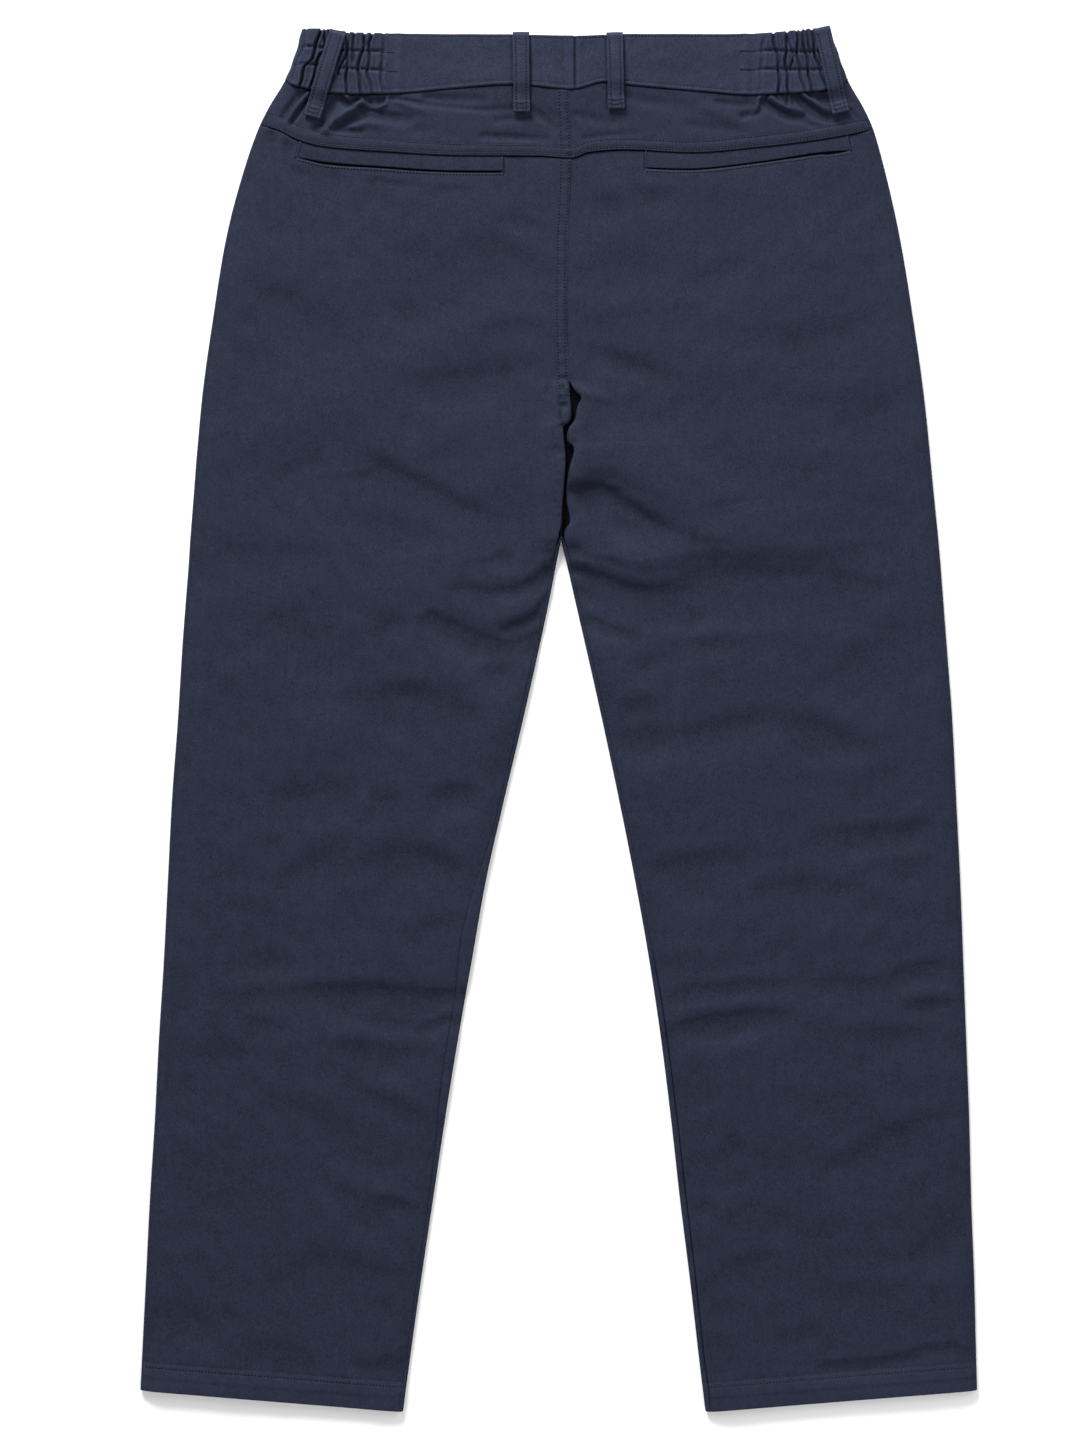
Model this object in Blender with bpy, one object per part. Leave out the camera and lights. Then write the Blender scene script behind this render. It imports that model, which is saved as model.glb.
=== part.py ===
"""Navy work trousers with elasticated sides, laid flat on their front, seat and backs of the legs up.

Frame: +X is the wearer's right, +Y points to the waist and +Z up from the surface that they lie on.
The origin is on that surface, under the middle of the bounding box. Sizes and tables are in
millimetres, and MM turns them into metres as each mesh is made.

"down" is the distance from the top of the waist towards the hems, so y = TOP_Y - down. "side" is -1 for
the wearer's left and +1 for the right. Each half is a flattened tube. The back panel is its upper wall
and turns under the outer edge as far as the side seam. The front panel is its lower wall and turns up
round the inner edge as far as the inseam. The waistband runs from centre back round each side to the
button at centre front.
"""

import math

import bmesh
import bpy
import numpy as np

MM = 0.001
LEFT, RIGHT = -1, 1
SIDE_NAME = {LEFT: "left", RIGHT: "right"}

# Cloth and seams
CLOTH = 1.2
HEM_CLOTH = 2.1
BAND_CLOTH = 2.0
LOOP_CLOTH = 1.2
SEAM_GAP = 0.3

# The garment as laid
TOP_Y = 525.0
HEM_DOWN = 1042.0
HEM_DEPTH = 20.0
HEM_STEP = 1.6
HEM_SLANT = 16.0
SLANT_STARTS = 300.0
EDGE_RADIUS = 1.8
HEM_EDGE_RADIUS = 2.4
UNDER_MARGIN = 3.0
CROWN = 1.8
CROWN_WIDTH = 16.0
FOLD_MARGIN = 6.0
LEAST_HOLLOW = 0.6
MOST_HOLLOW = 3.8
YOKE_PROUD = 1.4
BAND_PROUD = 0.7
YOKE_RISE_REACH = 30.0

# Where the two halves part: the back's centre seam sinks into the slit between the legs, and the
# front panel's inner edge rolls up through half a turn to become the inseam. The back panel's edge
# makes room for that roll.
SINK_STARTS, SINK_ENDS = 258.0, 300.0
ROLL_STARTS, ROLL_ENDS = 276.0, 306.0
ROLL_ROOM_COLUMNS = ("down", "from_centre_seam")
ROLL_ROOM = ((276.0, 0.15), (283.5, 1.9), (291.0, 2.1), (298.5, 3.0), (306.0, 3.35))

# The waistband, its closure and its loops
CENTRE_X = 9.0
BAND_BACK_SEAM_X = 12.5
BAND_HEIGHT = 6.8
BAND_CENTRE_RISE = 2.6
BAND_CENTRE_REACH = 105.0
LAP = 18.0
LAP_RAMP = 14.0
GATHER_DEPTH = 1.8
GATHER_SCALLOP = 1.4
LOOP_WIDTH = 12.0
FRONT_LOOP_FROM_CENTRE = 108.0
FRONT_LOOP_TOP, FRONT_LOOP_FOOT = 5.0, 60.0
LOOP_STEPS = (0.0, 0.35, 0.62, 0.74, 0.86, 1.0)
LOOP_SOFTENS_OVER = 6.0

# The button lies face down. Its profile is (radius, z) from the middle of its dished face to its back.
BUTTON_DOWN = 25.0
BUTTON_THICKNESS = 2.3
BUTTON_PROFILE = (
    (0.0, 0.7), (7.1, 0.7), (7.6, 0.0), (8.1, 0.0), (8.5, 0.5), (8.5, 1.6), (7.3, 2.3), (0.0, 2.3),
)
BUTTON_SEGMENTS = 20
BUTTON_HOLE_RADIUS = 1.0
BUTTON_HOLE_REACH = 2.55
BUTTON_HOLE_SEGMENTS = 8

# The waist's front rests on its loops and its button, so it stands off the surface by their thickness.
LOOP_LIFT = LOOP_CLOTH + SEAM_GAP
BUTTON_LIFT = BUTTON_THICKNESS + SEAM_GAP
BUTTON_LIFT_FLAT, BUTTON_LIFT_REACH = 11.0, 55.0
LIFT_ENDS, LIFT_RAMP = 62.0, 28.0

OUTLINE_COLUMNS = ("down", "left_side", "left_inner", "right_inner", "right_side")
OUTLINE = (
    (0, -194.5, 9.0, 9.0, 205.5),
    (20, -200.0, 9.0, 9.0, 212.5),
    (40, -208.0, 8.0, 8.0, 220.0),
    (60, -220.0, 8.0, 8.0, 231.5),
    (75, -227.5, 9.0, 9.0, 238.5),
    (100, -236.7, 9.5, 9.5, 245.9),
    (160, -252.7, 7.0, 7.0, 259.5),
    (220, -262.5, 6.2, 6.2, 269.3),
    (280, -270.8, 8.6, 8.6, 277.7),
    (306, -273.3, 5.6, 5.6, 280.5),
    (326, -275.0, 7.0, 7.0, 282.4),
    (348, -276.7, 5.4, 5.4, 284.5),
    (370, -278.4, 3.4, 3.4, 286.7),
    (394, -280.2, 2.6, 2.8, 289.0),
    (404, -280.8, -0.8, 5.6, 289.9),
    (434, -283.1, -7.0, 12.5, 292.2),
    (464, -285.4, -13.3, 19.4, 294.5),
    (525, -289.2, -27.0, 33.1, 299.1),
    (586, -293.7, -41.4, 46.0, 302.1),
    (647, -296.8, -55.1, 58.1, 305.1),
    (707, -299.8, -65.7, 68.8, 307.4),
    (768, -303.6, -76.4, 77.9, 309.7),
    (829, -306.7, -86.3, 85.5, 312.0),
    (890, -310.5, -95.4, 92.3, 313.5),
    (951, -313.5, -104.5, 99.9, 315.8),
    (1011, -316.5, -112.9, 106.8, 317.3),
    (1050, -318.4, -118.0, 111.5, 318.4),
)

# How far the front panel's edge comes round onto the top, beside the inseam
INSEAM_WRAP_COLUMNS = ("down", "left", "right")
INSEAM_WRAP = (
    (300, 1.1, 1.1),
    (600, 1.1, 1.1),
    (700, 7.5, 1.4),
    (750, 6.8, 2.6),
    (830, 5.0, 2.6),
    (900, 1.4, 2.8),
    (960, 1.1, 2.2),
    (1050, 1.1, 1.6),
)

# Seam lines across the back, as (x, down)
WAIST_TOP = (
    (-194, 0.4), (-180, 0.8), (-150, 3.8), (-120, 4.2), (-35, 5.0), (12, 6.2),
    (50, 4.6), (150, 4.2), (180, 2.0), (196, 0.5), (205, 0.8),
)
WAIST_SEAM = (
    (-208, 39.7), (-195, 44.6), (-154, 49.8), (-122, 48.8), (-82, 45.2), (-35, 42.2),
    (10, 46.0), (35, 40.4), (50, 42.2), (110, 47.3), (144, 49.9), (176, 49.0), (202, 46.8), (220, 39.7),
)
YOKE_SEAM = (
    (-227, 72.6), (-213, 77.0), (-198, 84.4), (-178, 89.7), (-129, 93.6), (-79, 96.3), (-17, 96.8),
    (9.5, 98.4), (23, 94.0), (49, 92.0), (101, 94.2), (151, 90.2), (184, 86.4), (225, 79.6), (239, 76.0),
)
FRONT_SEAM_AT_SIDE, FRONT_SEAM_AT_CENTRE = 39.7, 45.5

# The largest folds: a soft trough with a low ridge on its hem side. tilt is the turn of its length
# from +X in degrees, positive where the right end is nearer the waist.
RIDGE_SHARE = 0.35
RIDGE_AT = 1.7
FOLD_COLUMNS = ("x", "down", "half_length", "tilt", "half_width", "depth")
FOLDS = (
    (-152, 235, 62, -26, 17, 0.9),
    (-76, 272, 62, 4, 12, 1.2),
    (-38, 184, 40, -26, 12, 0.9),
    (-106, 350, 68, -24, 14, 1.2),
    (-65, 462, 44, -14, 10, 1.9),
    (-110, 524, 58, -10, 12, 1.9),
    (-120, 654, 76, 4, 16, 1.2),
    (-160, 740, 96, 1, 10, 2.1),
    (-140, 778, 60, -2, 10, 1.2),
    (-150, 850, 80, -24, 14, 1.0),
    (52, 254, 44, -14, 11, 1.1),
    (54, 366, 52, -20, 11, 2.0),
    (144, 408, 66, 0, 15, 1.5),
    (46, 424, 42, -14, 9, 1.6),
    (132, 538, 96, 4, 15, 1.5),
    (110, 636, 52, 8, 11, 1.4),
    (140, 668, 78, 0, 16, 0.9),
    (122, 760, 62, 8, 10, 1.9),
    (250, 768, 46, 14, 11, 1.1),
    (255, 852, 62, 24, 13, 1.0),
)

# Rows of points down each panel, as distances from the waist's top
PANEL_DOWNS = (
    106, 130, 160, 185, 210, 236, 258, 276, 283.5, 291, 298.5, 306, 330, 355, 382, 408, 436, 464, 494,
    528, 568, 612, 655, 700, 726, 744, 762, 782, 815, 860, 910, 965,
)
SIDE_SEAM_TOP_DOWN = 56.0
YOKE_ROWS = (0.0, 1 / 3, 2 / 3, 1.0)
TOP_COLUMNS = (0.04, 0.11, 0.22, 0.34, 0.47, 0.61, 0.74, 0.86, 0.95, 1.0)
UNDER_COLUMNS = (0.0, 0.55, 0.86)
EDGE_TURNS = (-90, -45, 0, 45, 90)
ROLL_STEPS = (0.0, 0.25, 0.5, 0.75, 1.0)
LEAST_TURN = 0.03
BAND_ROWS = (0.0, 0.3, 0.65, 1.0)
BAND_FRONT_STATIONS = (95.0, 66.0, 46.0, 32.3, 18.3, 11.0, 0.0)
BAND_SIDE_STATIONS = (12.0, 60.0)
PLAIN_BAND_CLEARS = 12.0

# The pocket welts hang from the yoke seam and lie on the panels
WELT_CLOTH = 1.0
WELT_ROWS = 3
WELT_STATIONS = 9
WELT_CLEARS = (8.0, 4.0)
WELT_COLUMNS = ("x_outer", "x_inner", "drop_outer", "drop_inner")
WELTS = {LEFT: (-197.0, -43.0, 11.6, 11.3), RIGHT: (219.5, 66.5, 10.6, 13.2)}

# The furrows between the gathers, from the middle outwards, where they meet the band's two edges
FURROW_COLUMNS = ("top_x", "seam_x")
FURROWS = {
    LEFT: (
        (-132.5, -132.0), (-140.0, -141.5), (-147.0, -150.0), (-159.0, -160.5),
        (-168.5, -176.0), (-178.0, -190.0), (-187.5, -200.0),
    ),
    RIGHT: (
        (154.5, 151.5), (162.5, 166.5), (173.0, 175.0), (181.0, 185.5),
        (188.0, 193.5), (194.5, 202.0), (199.5, 211.0),
    ),
}

LOOP_COLUMNS = ("name", "top_x", "top_down", "foot_x", "foot_down")
BACK_LOOPS = (
    ("belt_loop_side_left", -167.5, 4.2, -187.0, 68.0),
    ("belt_loop_back_left", -28.5, 5.0, -28.0, 64.5),
    ("belt_loop_back_right", 42.5, 5.2, 43.8, 62.0),
    ("belt_loop_side_right", 199.5, 1.6, 214.0, 65.0),
)

# (colour, roughness)
TWILL = ((0.032, 0.037, 0.065), 0.85)
BAND_TWILL = ((0.036, 0.041, 0.071), 0.8)
BUTTON_PLASTIC = ((0.018, 0.021, 0.035), 0.45)


def smooth(t):
    """0 up to t = 0, 1 from t = 1 on, and an even S between them."""
    t = np.clip(t, 0.0, 1.0)
    return t * t * (3 - 2 * t)


def dome(t):
    """0 at t = 0, rising fast at first and level at 1 from t = 1 on."""
    return 1 - (1 - np.clip(t, 0.0, 1.0)) ** 2


def curve_through(points):
    """A smooth curve through (place, value) points that never swings past them."""
    places, values = np.array(points, float).T
    steps = np.diff(places)
    slopes = np.diff(values) / steps
    tangents = np.concatenate([slopes[:1], np.zeros(len(slopes) - 1), slopes[-1:]])
    for i in range(1, len(slopes)):
        before, after = slopes[i - 1], slopes[i]
        if before * after > 0:
            near, far = steps[i - 1] + 2 * steps[i], 2 * steps[i - 1] + steps[i]
            tangents[i] = (near + far) / (near / before + far / after)

    def value(place):
        place = np.clip(place, places[0], places[-1])
        i = np.clip(np.searchsorted(places, place, side="right") - 1, 0, len(steps) - 1)
        t = (place - places[i]) / steps[i]
        ends = values[i] * (1 + 2 * t) * (1 - t) ** 2 + values[i + 1] * t * t * (3 - 2 * t)
        leans = tangents[i] * t * (1 - t) ** 2 - tangents[i + 1] * t * t * (1 - t)
        return ends + steps[i] * leans

    return value


def column(table, names, name):
    """The curve of one named column of a table against its first column."""
    k = names.index(name)
    return curve_through([(row[0], row[k]) for row in table])


OUTER = {side: column(OUTLINE, OUTLINE_COLUMNS, SIDE_NAME[side] + "_side") for side in (LEFT, RIGHT)}
INNER = {side: column(OUTLINE, OUTLINE_COLUMNS, SIDE_NAME[side] + "_inner") for side in (LEFT, RIGHT)}
WRAP = {side: column(INSEAM_WRAP, INSEAM_WRAP_COLUMNS, SIDE_NAME[side]) for side in (LEFT, RIGHT)}
roll_room = curve_through(ROLL_ROOM)
waist_top = curve_through(WAIST_TOP)
waist_seam = curve_through(WAIST_SEAM)
yoke_seam = curve_through(YOKE_SEAM)


def front_seam(x):
    """The seam between the waistband and the front panels, straight from side to centre."""
    side = LEFT if x < CENTRE_X else RIGHT
    places = (CENTRE_X, OUTER[side](FRONT_SEAM_AT_SIDE))
    share = np.clip((x - places[0]) / (places[1] - places[0]), 0.0, 1.0)
    return FRONT_SEAM_AT_CENTRE + (FRONT_SEAM_AT_SIDE - FRONT_SEAM_AT_CENTRE) * share


def hem_share(down):
    """0 on the leg and 1 on its turned-up hem."""
    return smooth((down - (HEM_DOWN - HEM_DEPTH)) / HEM_STEP + 0.5)


def slant(down):
    """How much lower a row's inner end lies than its outer end."""
    return HEM_SLANT * smooth((down - SLANT_STARTS) / (HEM_DOWN - SLANT_STARTS))


def edge_radius(down):
    """Outside radius of the folds at the leg's two edges."""
    return EDGE_RADIUS + (HEM_EDGE_RADIUS - EDGE_RADIUS) * hem_share(down)


def panel_cloth(down):
    """Thickness of a panel: one layer, and two in the hem."""
    return CLOTH + (HEM_CLOTH - CLOTH) * hem_share(down)


def lift(x, down):
    """Height of the underside over the surface: the waist lies on its loops and its button."""
    near_button = 1 - smooth((abs(x - CENTRE_X) - BUTTON_LIFT_FLAT) / BUTTON_LIFT_REACH)
    at_waist = 1 - smooth((down - LIFT_ENDS) / LIFT_RAMP)
    return (LOOP_LIFT + (BUTTON_LIFT - LOOP_LIFT) * near_button) * at_waist


def fold_height(x, down):
    """Height that the folds add to the upper wall, below 0 in a trough."""
    total = 0.0
    for row in FOLDS:
        fold = dict(zip(FOLD_COLUMNS, row))
        turn = math.radians(fold["tilt"])
        dx, dy = x - fold["x"], fold["down"] - down
        along = (dx * math.cos(turn) + dy * math.sin(turn)) / fold["half_length"]
        across = (dx * math.sin(turn) - dy * math.cos(turn)) / fold["half_width"]
        taper = np.clip(1 - along * along, 0.0, 1.0) ** 2
        trough = -math.exp(-across * across)
        ridge = RIDGE_SHARE * math.exp(-((across - RIDGE_AT) ** 2))
        total += fold["depth"] * taper * (trough + ridge)
    return total


def top_height(side, x, down):
    """Height of the upper wall's outer face."""
    radius = edge_radius(down)
    from_outer = abs(OUTER[side](down) - x) - radius
    from_inner = abs(x - INNER[side](down)) - radius
    parted = smooth((down - SINK_STARTS) / (SINK_ENDS - SINK_STARTS))
    crown = CROWN * dome(from_outer / CROWN_WIDTH)
    crown *= 1 - parted * (1 - dome(from_inner / CROWN_WIDTH))
    calm = dome(from_outer / FOLD_MARGIN) * (1 - parted * (1 - dome(from_inner / FOLD_MARGIN)))
    hollow = 2 * (radius - panel_cloth(down)) + crown + calm * fold_height(x, down)
    hollow = min(max(hollow, LEAST_HOLLOW), MOST_HOLLOW)
    return 2 * panel_cloth(down) + max(hollow, lift(x, down) + LEAST_HOLLOW)


def band_height(x):
    """Height of the waistband's outer face across the back, between its gathers."""
    return BAND_HEIGHT + BAND_CENTRE_RISE * (1 - smooth(abs(x - CENTRE_X) / BAND_CENTRE_REACH))


def yoke_height(side, x, down):
    """The yoke lies over the panels' raw edges, and rises to just under the waistband's face."""
    inset = dome((abs(OUTER[side](down) - x) - EDGE_RADIUS) / CROWN_WIDTH)
    at_panel = top_height(side, x, down) + YOKE_PROUD * inset
    at_band = at_panel + (band_height(x) - BAND_PROUD - at_panel) * inset
    return at_panel + (at_band - at_panel) * (1 - smooth((down - waist_seam(x)) / YOKE_RISE_REACH))


def point(x, down, z):
    return (x, TOP_Y - down, z)


def wall_pair(x, down, z, inward):
    """Outer and inner point of a level wall, whose inner face is that far above its outer one."""
    return point(x, down, z), point(x, down, z + inward)


def bent_pair(x, down, z, radius, cloth, side, angle):
    """Outer and inner point of a wall bent round (x, z). angle is measured from outwards to up."""
    pair = []
    for r in (radius, radius - cloth):
        pair.append(point(x + side * r * math.cos(angle), down, z + r * math.sin(angle)))
    return tuple(pair)


def edge_pair(side, turn, down, radius, cloth, floor):
    """Outer and inner point of the fold at a half's outer edge. turn is -90 below and 90 on top."""
    middle = OUTER[side](down) - side * radius
    return bent_pair(middle, down, floor + radius, radius, cloth, side, math.radians(turn))


def back_inner_x(side, down):
    """Where the back panel ends: at the centre seam, and lower down beside the inseam."""
    if down < ROLL_ENDS:
        return INNER[side](down) + side * roll_room(down)
    return INNER[side](down) + side * (edge_radius(down) + WRAP[side](down) + 1.5 * SEAM_GAP)


def row_places(side, down_at):
    """(x, down) of each point of a row across an upper wall, from the outer fold to the inner edge.

    down_at gives down as a function of the share of the way across and of x.
    """
    places = []
    down = down_at(0.0, OUTER[side](SIDE_SEAM_TOP_DOWN))
    for share in TOP_COLUMNS:
        for _ in range(4):
            start = OUTER[side](down) - side * edge_radius(down)
            x = start + (back_inner_x(side, down) - start) * share
            down = down_at(share, x)
        places.append((x, down))
    return places


def upper_wall(side, downs, height, thickness):
    """Rows of an upper wall, each from its margin under the outer edge to its inner edge."""
    rows = []
    for down_at in downs:
        edge_down = down_at(0.0, OUTER[side](SIDE_SEAM_TOP_DOWN))
        radius, cloth = edge_radius(edge_down), thickness(edge_down)
        floor = lift(OUTER[side](edge_down), edge_down)
        x = OUTER[side](edge_down) - side * (radius + UNDER_MARGIN)
        row = [wall_pair(x, edge_down, floor, cloth)]
        row += [edge_pair(side, turn, edge_down, radius, cloth, floor) for turn in EDGE_TURNS]
        for x, down in row_places(side, down_at):
            row.append(wall_pair(x, down, height(side, x, down), -thickness(down)))
        rows.append(row)
    return rows


def rolled_edge(side, down):
    """Where the front panel starts to roll up at its inner edge, and its pairs from there to its end.

    The roll keeps its length: it is flat above the crotch and half a turn of edge_radius below it.
    """
    cloth, strip = panel_cloth(down), WRAP[side](down)
    length = math.pi * edge_radius(down)
    turn = math.pi * smooth((down - ROLL_STARTS) / (ROLL_ENDS - ROLL_STARTS))
    limit = INNER[side](down) + side * SEAM_GAP / 2
    floor = lift(limit, down)
    if turn < LEAST_TURN:
        start = limit + side * (length + strip)
        places = [start - side * length * step for step in ROLL_STEPS] + [limit]
        return start, [wall_pair(x, down, floor, cloth) for x in places]
    bend = length / turn
    start = limit + side * bend
    if turn < math.pi / 2:
        start = limit + side * (bend * math.sin(turn) + strip * math.cos(turn))
    centre = (start, down, floor + bend)
    row = [bent_pair(*centre, bend, cloth, -side, turn * step - math.pi / 2) for step in ROLL_STEPS]
    seat = 0.0
    if turn > math.pi - LEAST_TURN:
        seat = top_height(side, start + side * strip, down) - (floor + 2 * bend)
    end = []
    for x, y, z in row[-1]:
        end.append((x - side * strip * math.cos(turn), y, z + strip * math.sin(turn) + seat))
    return start, row + [tuple(end)]


def lower_wall(side, downs):
    """Rows of the front panel, each from the side seam to the inseam on the top."""
    rows = []
    for down_at in downs:
        edge_down = down_at(0.0, OUTER[side](SIDE_SEAM_TOP_DOWN))
        first = OUTER[side](edge_down) - side * (edge_radius(edge_down) + UNDER_MARGIN + SEAM_GAP)
        start, rolled = rolled_edge(side, down_at(1.0, CENTRE_X))
        row = []
        for share in UNDER_COLUMNS:
            x = first + (start - first) * share
            down = down_at(share, x)
            row.append(wall_pair(x, down, lift(x, down), panel_cloth(down)))
        rows.append(row + rolled)
    return rows


def level_row(down):
    """A row of a leg panel, tilted with the leg."""
    return lambda share, x: down + slant(down) * (share - 0.5)


def between_row(first, last, share_down):
    """A row part of the way between two lines across the garment."""
    return lambda share, x: first(x) + (last(x) - first(x)) * share_down


def leg_downs():
    """Rows that both leg panels share, with a step at the hem's stitching."""
    hem = HEM_DOWN - HEM_DEPTH
    return [level_row(down) for down in (*PANEL_DOWNS, hem - HEM_STEP / 2, hem + HEM_STEP / 2, HEM_DOWN)]


def placed(name, bm, look):
    """The bmesh as a painted object in the scene, smooth but for its sharp rims."""
    bmesh.ops.recalc_face_normals(bm, faces=bm.faces)
    mesh = bpy.data.meshes.new(name)
    bm.to_mesh(mesh)
    bm.free()
    mesh.shade_smooth()
    mesh.set_sharp_from_angle(angle=math.radians(35))
    colour, roughness = look
    material = bpy.data.materials.new(name)
    material.use_nodes = True
    shader = material.node_tree.nodes["Principled BSDF"]
    shader.inputs["Base Color"].default_value = (*colour, 1.0)
    shader.inputs["Roughness"].default_value = roughness
    shader.inputs["Metallic"].default_value = 0.0
    mesh.materials.append(material)
    obj = bpy.data.objects.new(name, mesh)
    bpy.context.scene.collection.objects.link(obj)
    return obj


def make_wall(name, rows, look):
    """A closed wall of cloth. Each row is a list of pairs: a point of its outer face and one of its inner."""
    bm = bmesh.new()
    grid = [[[bm.verts.new(np.array(p) * MM) for p in pair] for pair in row] for row in rows]
    last_row, last_column = len(grid) - 1, len(grid[0]) - 1
    for i in range(last_row):
        for j in range(last_column):
            corners = (grid[i][j], grid[i + 1][j], grid[i + 1][j + 1], grid[i][j + 1])
            for face in zip(*corners):
                bm.faces.new(face)
    border = [grid[0][j] for j in range(last_column)]
    border += [grid[i][last_column] for i in range(last_row)]
    border += [grid[last_row][j] for j in range(last_column, 0, -1)]
    border += [grid[i][0] for i in range(last_row, 0, -1)]
    for here, there in zip(border, border[1:] + border[:1]):
        bm.faces.new((here[0], there[0], there[1], here[1]))
    return placed(name, bm, look)


def make_back(side):
    """A back panel: seat and back of the leg, from the yoke seam to the hem."""
    first = [lambda share, x: yoke_seam(x) + SEAM_GAP]
    rows = upper_wall(side, first + leg_downs(), top_height, panel_cloth)
    make_wall("back_panel_" + SIDE_NAME[side], rows, TWILL)


def make_yoke(side):
    """The yoke between the waistband and the back panel."""
    lines = (lambda x: waist_seam(x) + 1.5 * SEAM_GAP, yoke_seam)
    downs = [between_row(*lines, share) for share in YOKE_ROWS]
    rows = upper_wall(side, downs, yoke_height, panel_cloth)
    make_wall("yoke_" + SIDE_NAME[side], rows, TWILL)


def make_front(side):
    """A front panel, with its top rows level with the yoke's at the side seam."""
    side_seam = OUTER[side](SIDE_SEAM_TOP_DOWN)
    lines = (lambda x: front_seam(x) + SEAM_GAP, lambda x: yoke_seam(side_seam))
    downs = [between_row(*lines, share) for share in YOKE_ROWS]
    make_wall("front_panel_" + SIDE_NAME[side], lower_wall(side, downs + leg_downs()), TWILL)


def waist_seam_line():
    """The waist seam as the yokes' top edges run, in straight steps."""
    line = sum((row_places(side, lambda share, x: waist_seam(x)) for side in (LEFT, RIGHT)), [])
    return np.array(sorted(line)).T


def band_back_stations(side):
    """(top_x, seam_x, rib) down the back half of the band, from centre back out. rib is 0 or 1."""
    start = BAND_BACK_SEAM_X + side * SEAM_GAP / 2
    furrows = FURROWS[side]
    end = furrows[0][0] - side * PLAIN_BAND_CLEARS
    plain = [x for x in waist_seam_line()[0] if side * (x - start) > 1.0 and side * (end - x) > 0]
    stations = [(x, x, 0) for x in sorted([start, *plain], key=lambda x: side * x)]
    for furrow, following in zip(furrows, furrows[1:]):
        rib = [(a + b) / 2 for a, b in zip(furrow, following)]
        stations += [(*furrow, 0), (*rib, 1)]
    return stations + [(*furrows[-1], 0)]


def band_front_stations(side):
    """x along the front half of the band, from the side to its end past centre front."""
    at_side = [OUTER[side](0.0) - side * reach for reach in BAND_SIDE_STATIONS]
    return at_side + [CENTRE_X + side * reach for reach in (*BAND_FRONT_STATIONS, -LAP)]


def make_waistband(side):
    """Half of the waistband: over the back, round the side and along the front to its lap."""
    seam_line = waist_seam_line()
    rows = []
    for share in BAND_ROWS:
        row = []
        for top_x, seam_x, rib in band_back_stations(side):
            x = top_x + (seam_x - top_x) * share
            top = waist_top(x) + GATHER_SCALLOP * (1 - rib) * (abs(x - CENTRE_X) > BAND_CENTRE_REACH)
            down = top + (np.interp(x, *seam_line) - top) * share
            row.append(wall_pair(x, down, band_height(x) + GATHER_DEPTH * rib, -BAND_CLOTH))
        top = waist_top(OUTER[side](0.0))
        down = top + (FRONT_SEAM_AT_SIDE - top) * share
        floor = lift(OUTER[side](down), down)
        radius = (BAND_HEIGHT - floor) / 2
        row += [edge_pair(side, turn, down, radius, BAND_CLOTH, floor) for turn in reversed(EDGE_TURNS)]
        for x in band_front_stations(side):
            down = waist_top(x) + (front_seam(x) - waist_top(x)) * share
            over_lap = 1 - smooth((side * (x - CENTRE_X) - LAP - SEAM_GAP) / LAP_RAMP)
            step = (BAND_CLOTH + SEAM_GAP) * over_lap if side == RIGHT else 0.0
            row.append(wall_pair(x, down, lift(x, down) + step, BAND_CLOTH))
        rows.append(row)
    make_wall("waistband_" + SIDE_NAME[side], rows, BAND_TWILL)


def surface_under(x, down):
    """Height of the back's face under a belt loop: the waistband's or the yoke's."""
    side = LEFT if x < INNER[LEFT](down) else RIGHT
    if down > waist_seam(x) + HEM_STEP:
        return yoke_height(side, x, down)
    gathered = side * (x - FURROWS[side][0][0]) > 0
    return band_height(x) + GATHER_DEPTH * gathered


def make_back_loop(name, top_x, top_down, foot_x, foot_down):
    """A belt loop, from the waistband's top edge to the yoke below its lower edge."""
    top, foot = np.array([top_x, top_down]), np.array([foot_x, foot_down])
    along = (foot - top) / np.linalg.norm(foot - top)
    across = np.array([along[1], -along[0]]) * LOOP_WIDTH / 2
    rows = []
    for share in LOOP_STEPS:
        middle = top + (foot - top) * share
        spots = [middle - across, middle, middle + across]
        around = [spot + along * step * LOOP_SOFTENS_OVER for spot in spots for step in (-1, 0, 1)]
        seat = max(surface_under(*spot) for spot in around) + SEAM_GAP
        rows.append([wall_pair(*spot, seat + LOOP_CLOTH, -LOOP_CLOTH) for spot in spots])
    make_wall(name, rows, BAND_TWILL)


def make_front_loop(side):
    """A belt loop under the front, flat on the surface, with the waist lying on it."""
    x = CENTRE_X + side * FRONT_LOOP_FROM_CENTRE
    edges = (x - LOOP_WIDTH / 2, x + LOOP_WIDTH / 2)
    ends = (FRONT_LOOP_TOP, FRONT_LOOP_FOOT)
    rows = [[wall_pair(edge, down, 0.0, LOOP_CLOTH) for edge in edges] for down in ends]
    make_wall("belt_loop_front_" + SIDE_NAME[side], rows, BAND_TWILL)


def make_welt(side):
    """The welt of a back pocket: a strip that hangs from the yoke seam and lies on the panel."""
    x_outer, x_inner, drop_outer, drop_inner = WELTS[side]
    reach_x, reach_down = WELT_CLEARS
    rows = []
    for down_share in np.linspace(0.0, 1.0, WELT_ROWS):
        row = []
        for share in np.linspace(0.0, 1.0, WELT_STATIONS):
            x = x_outer + (x_inner - x_outer) * share
            drop = drop_outer + (drop_inner - drop_outer) * share - 2 * SEAM_GAP
            down = yoke_seam(x) + 2 * SEAM_GAP + drop * down_share
            spots = [(x + i * reach_x, down + j * reach_down) for i in (-1, 0, 1) for j in (-1, 0, 1)]
            seat = max(top_height(side, *spot) for spot in spots) + SEAM_GAP
            row.append(wall_pair(x, down, seat + WELT_CLOTH, -WELT_CLOTH))
        rows.append(row)
    make_wall("pocket_welt_" + SIDE_NAME[side], rows, TWILL)


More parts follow.
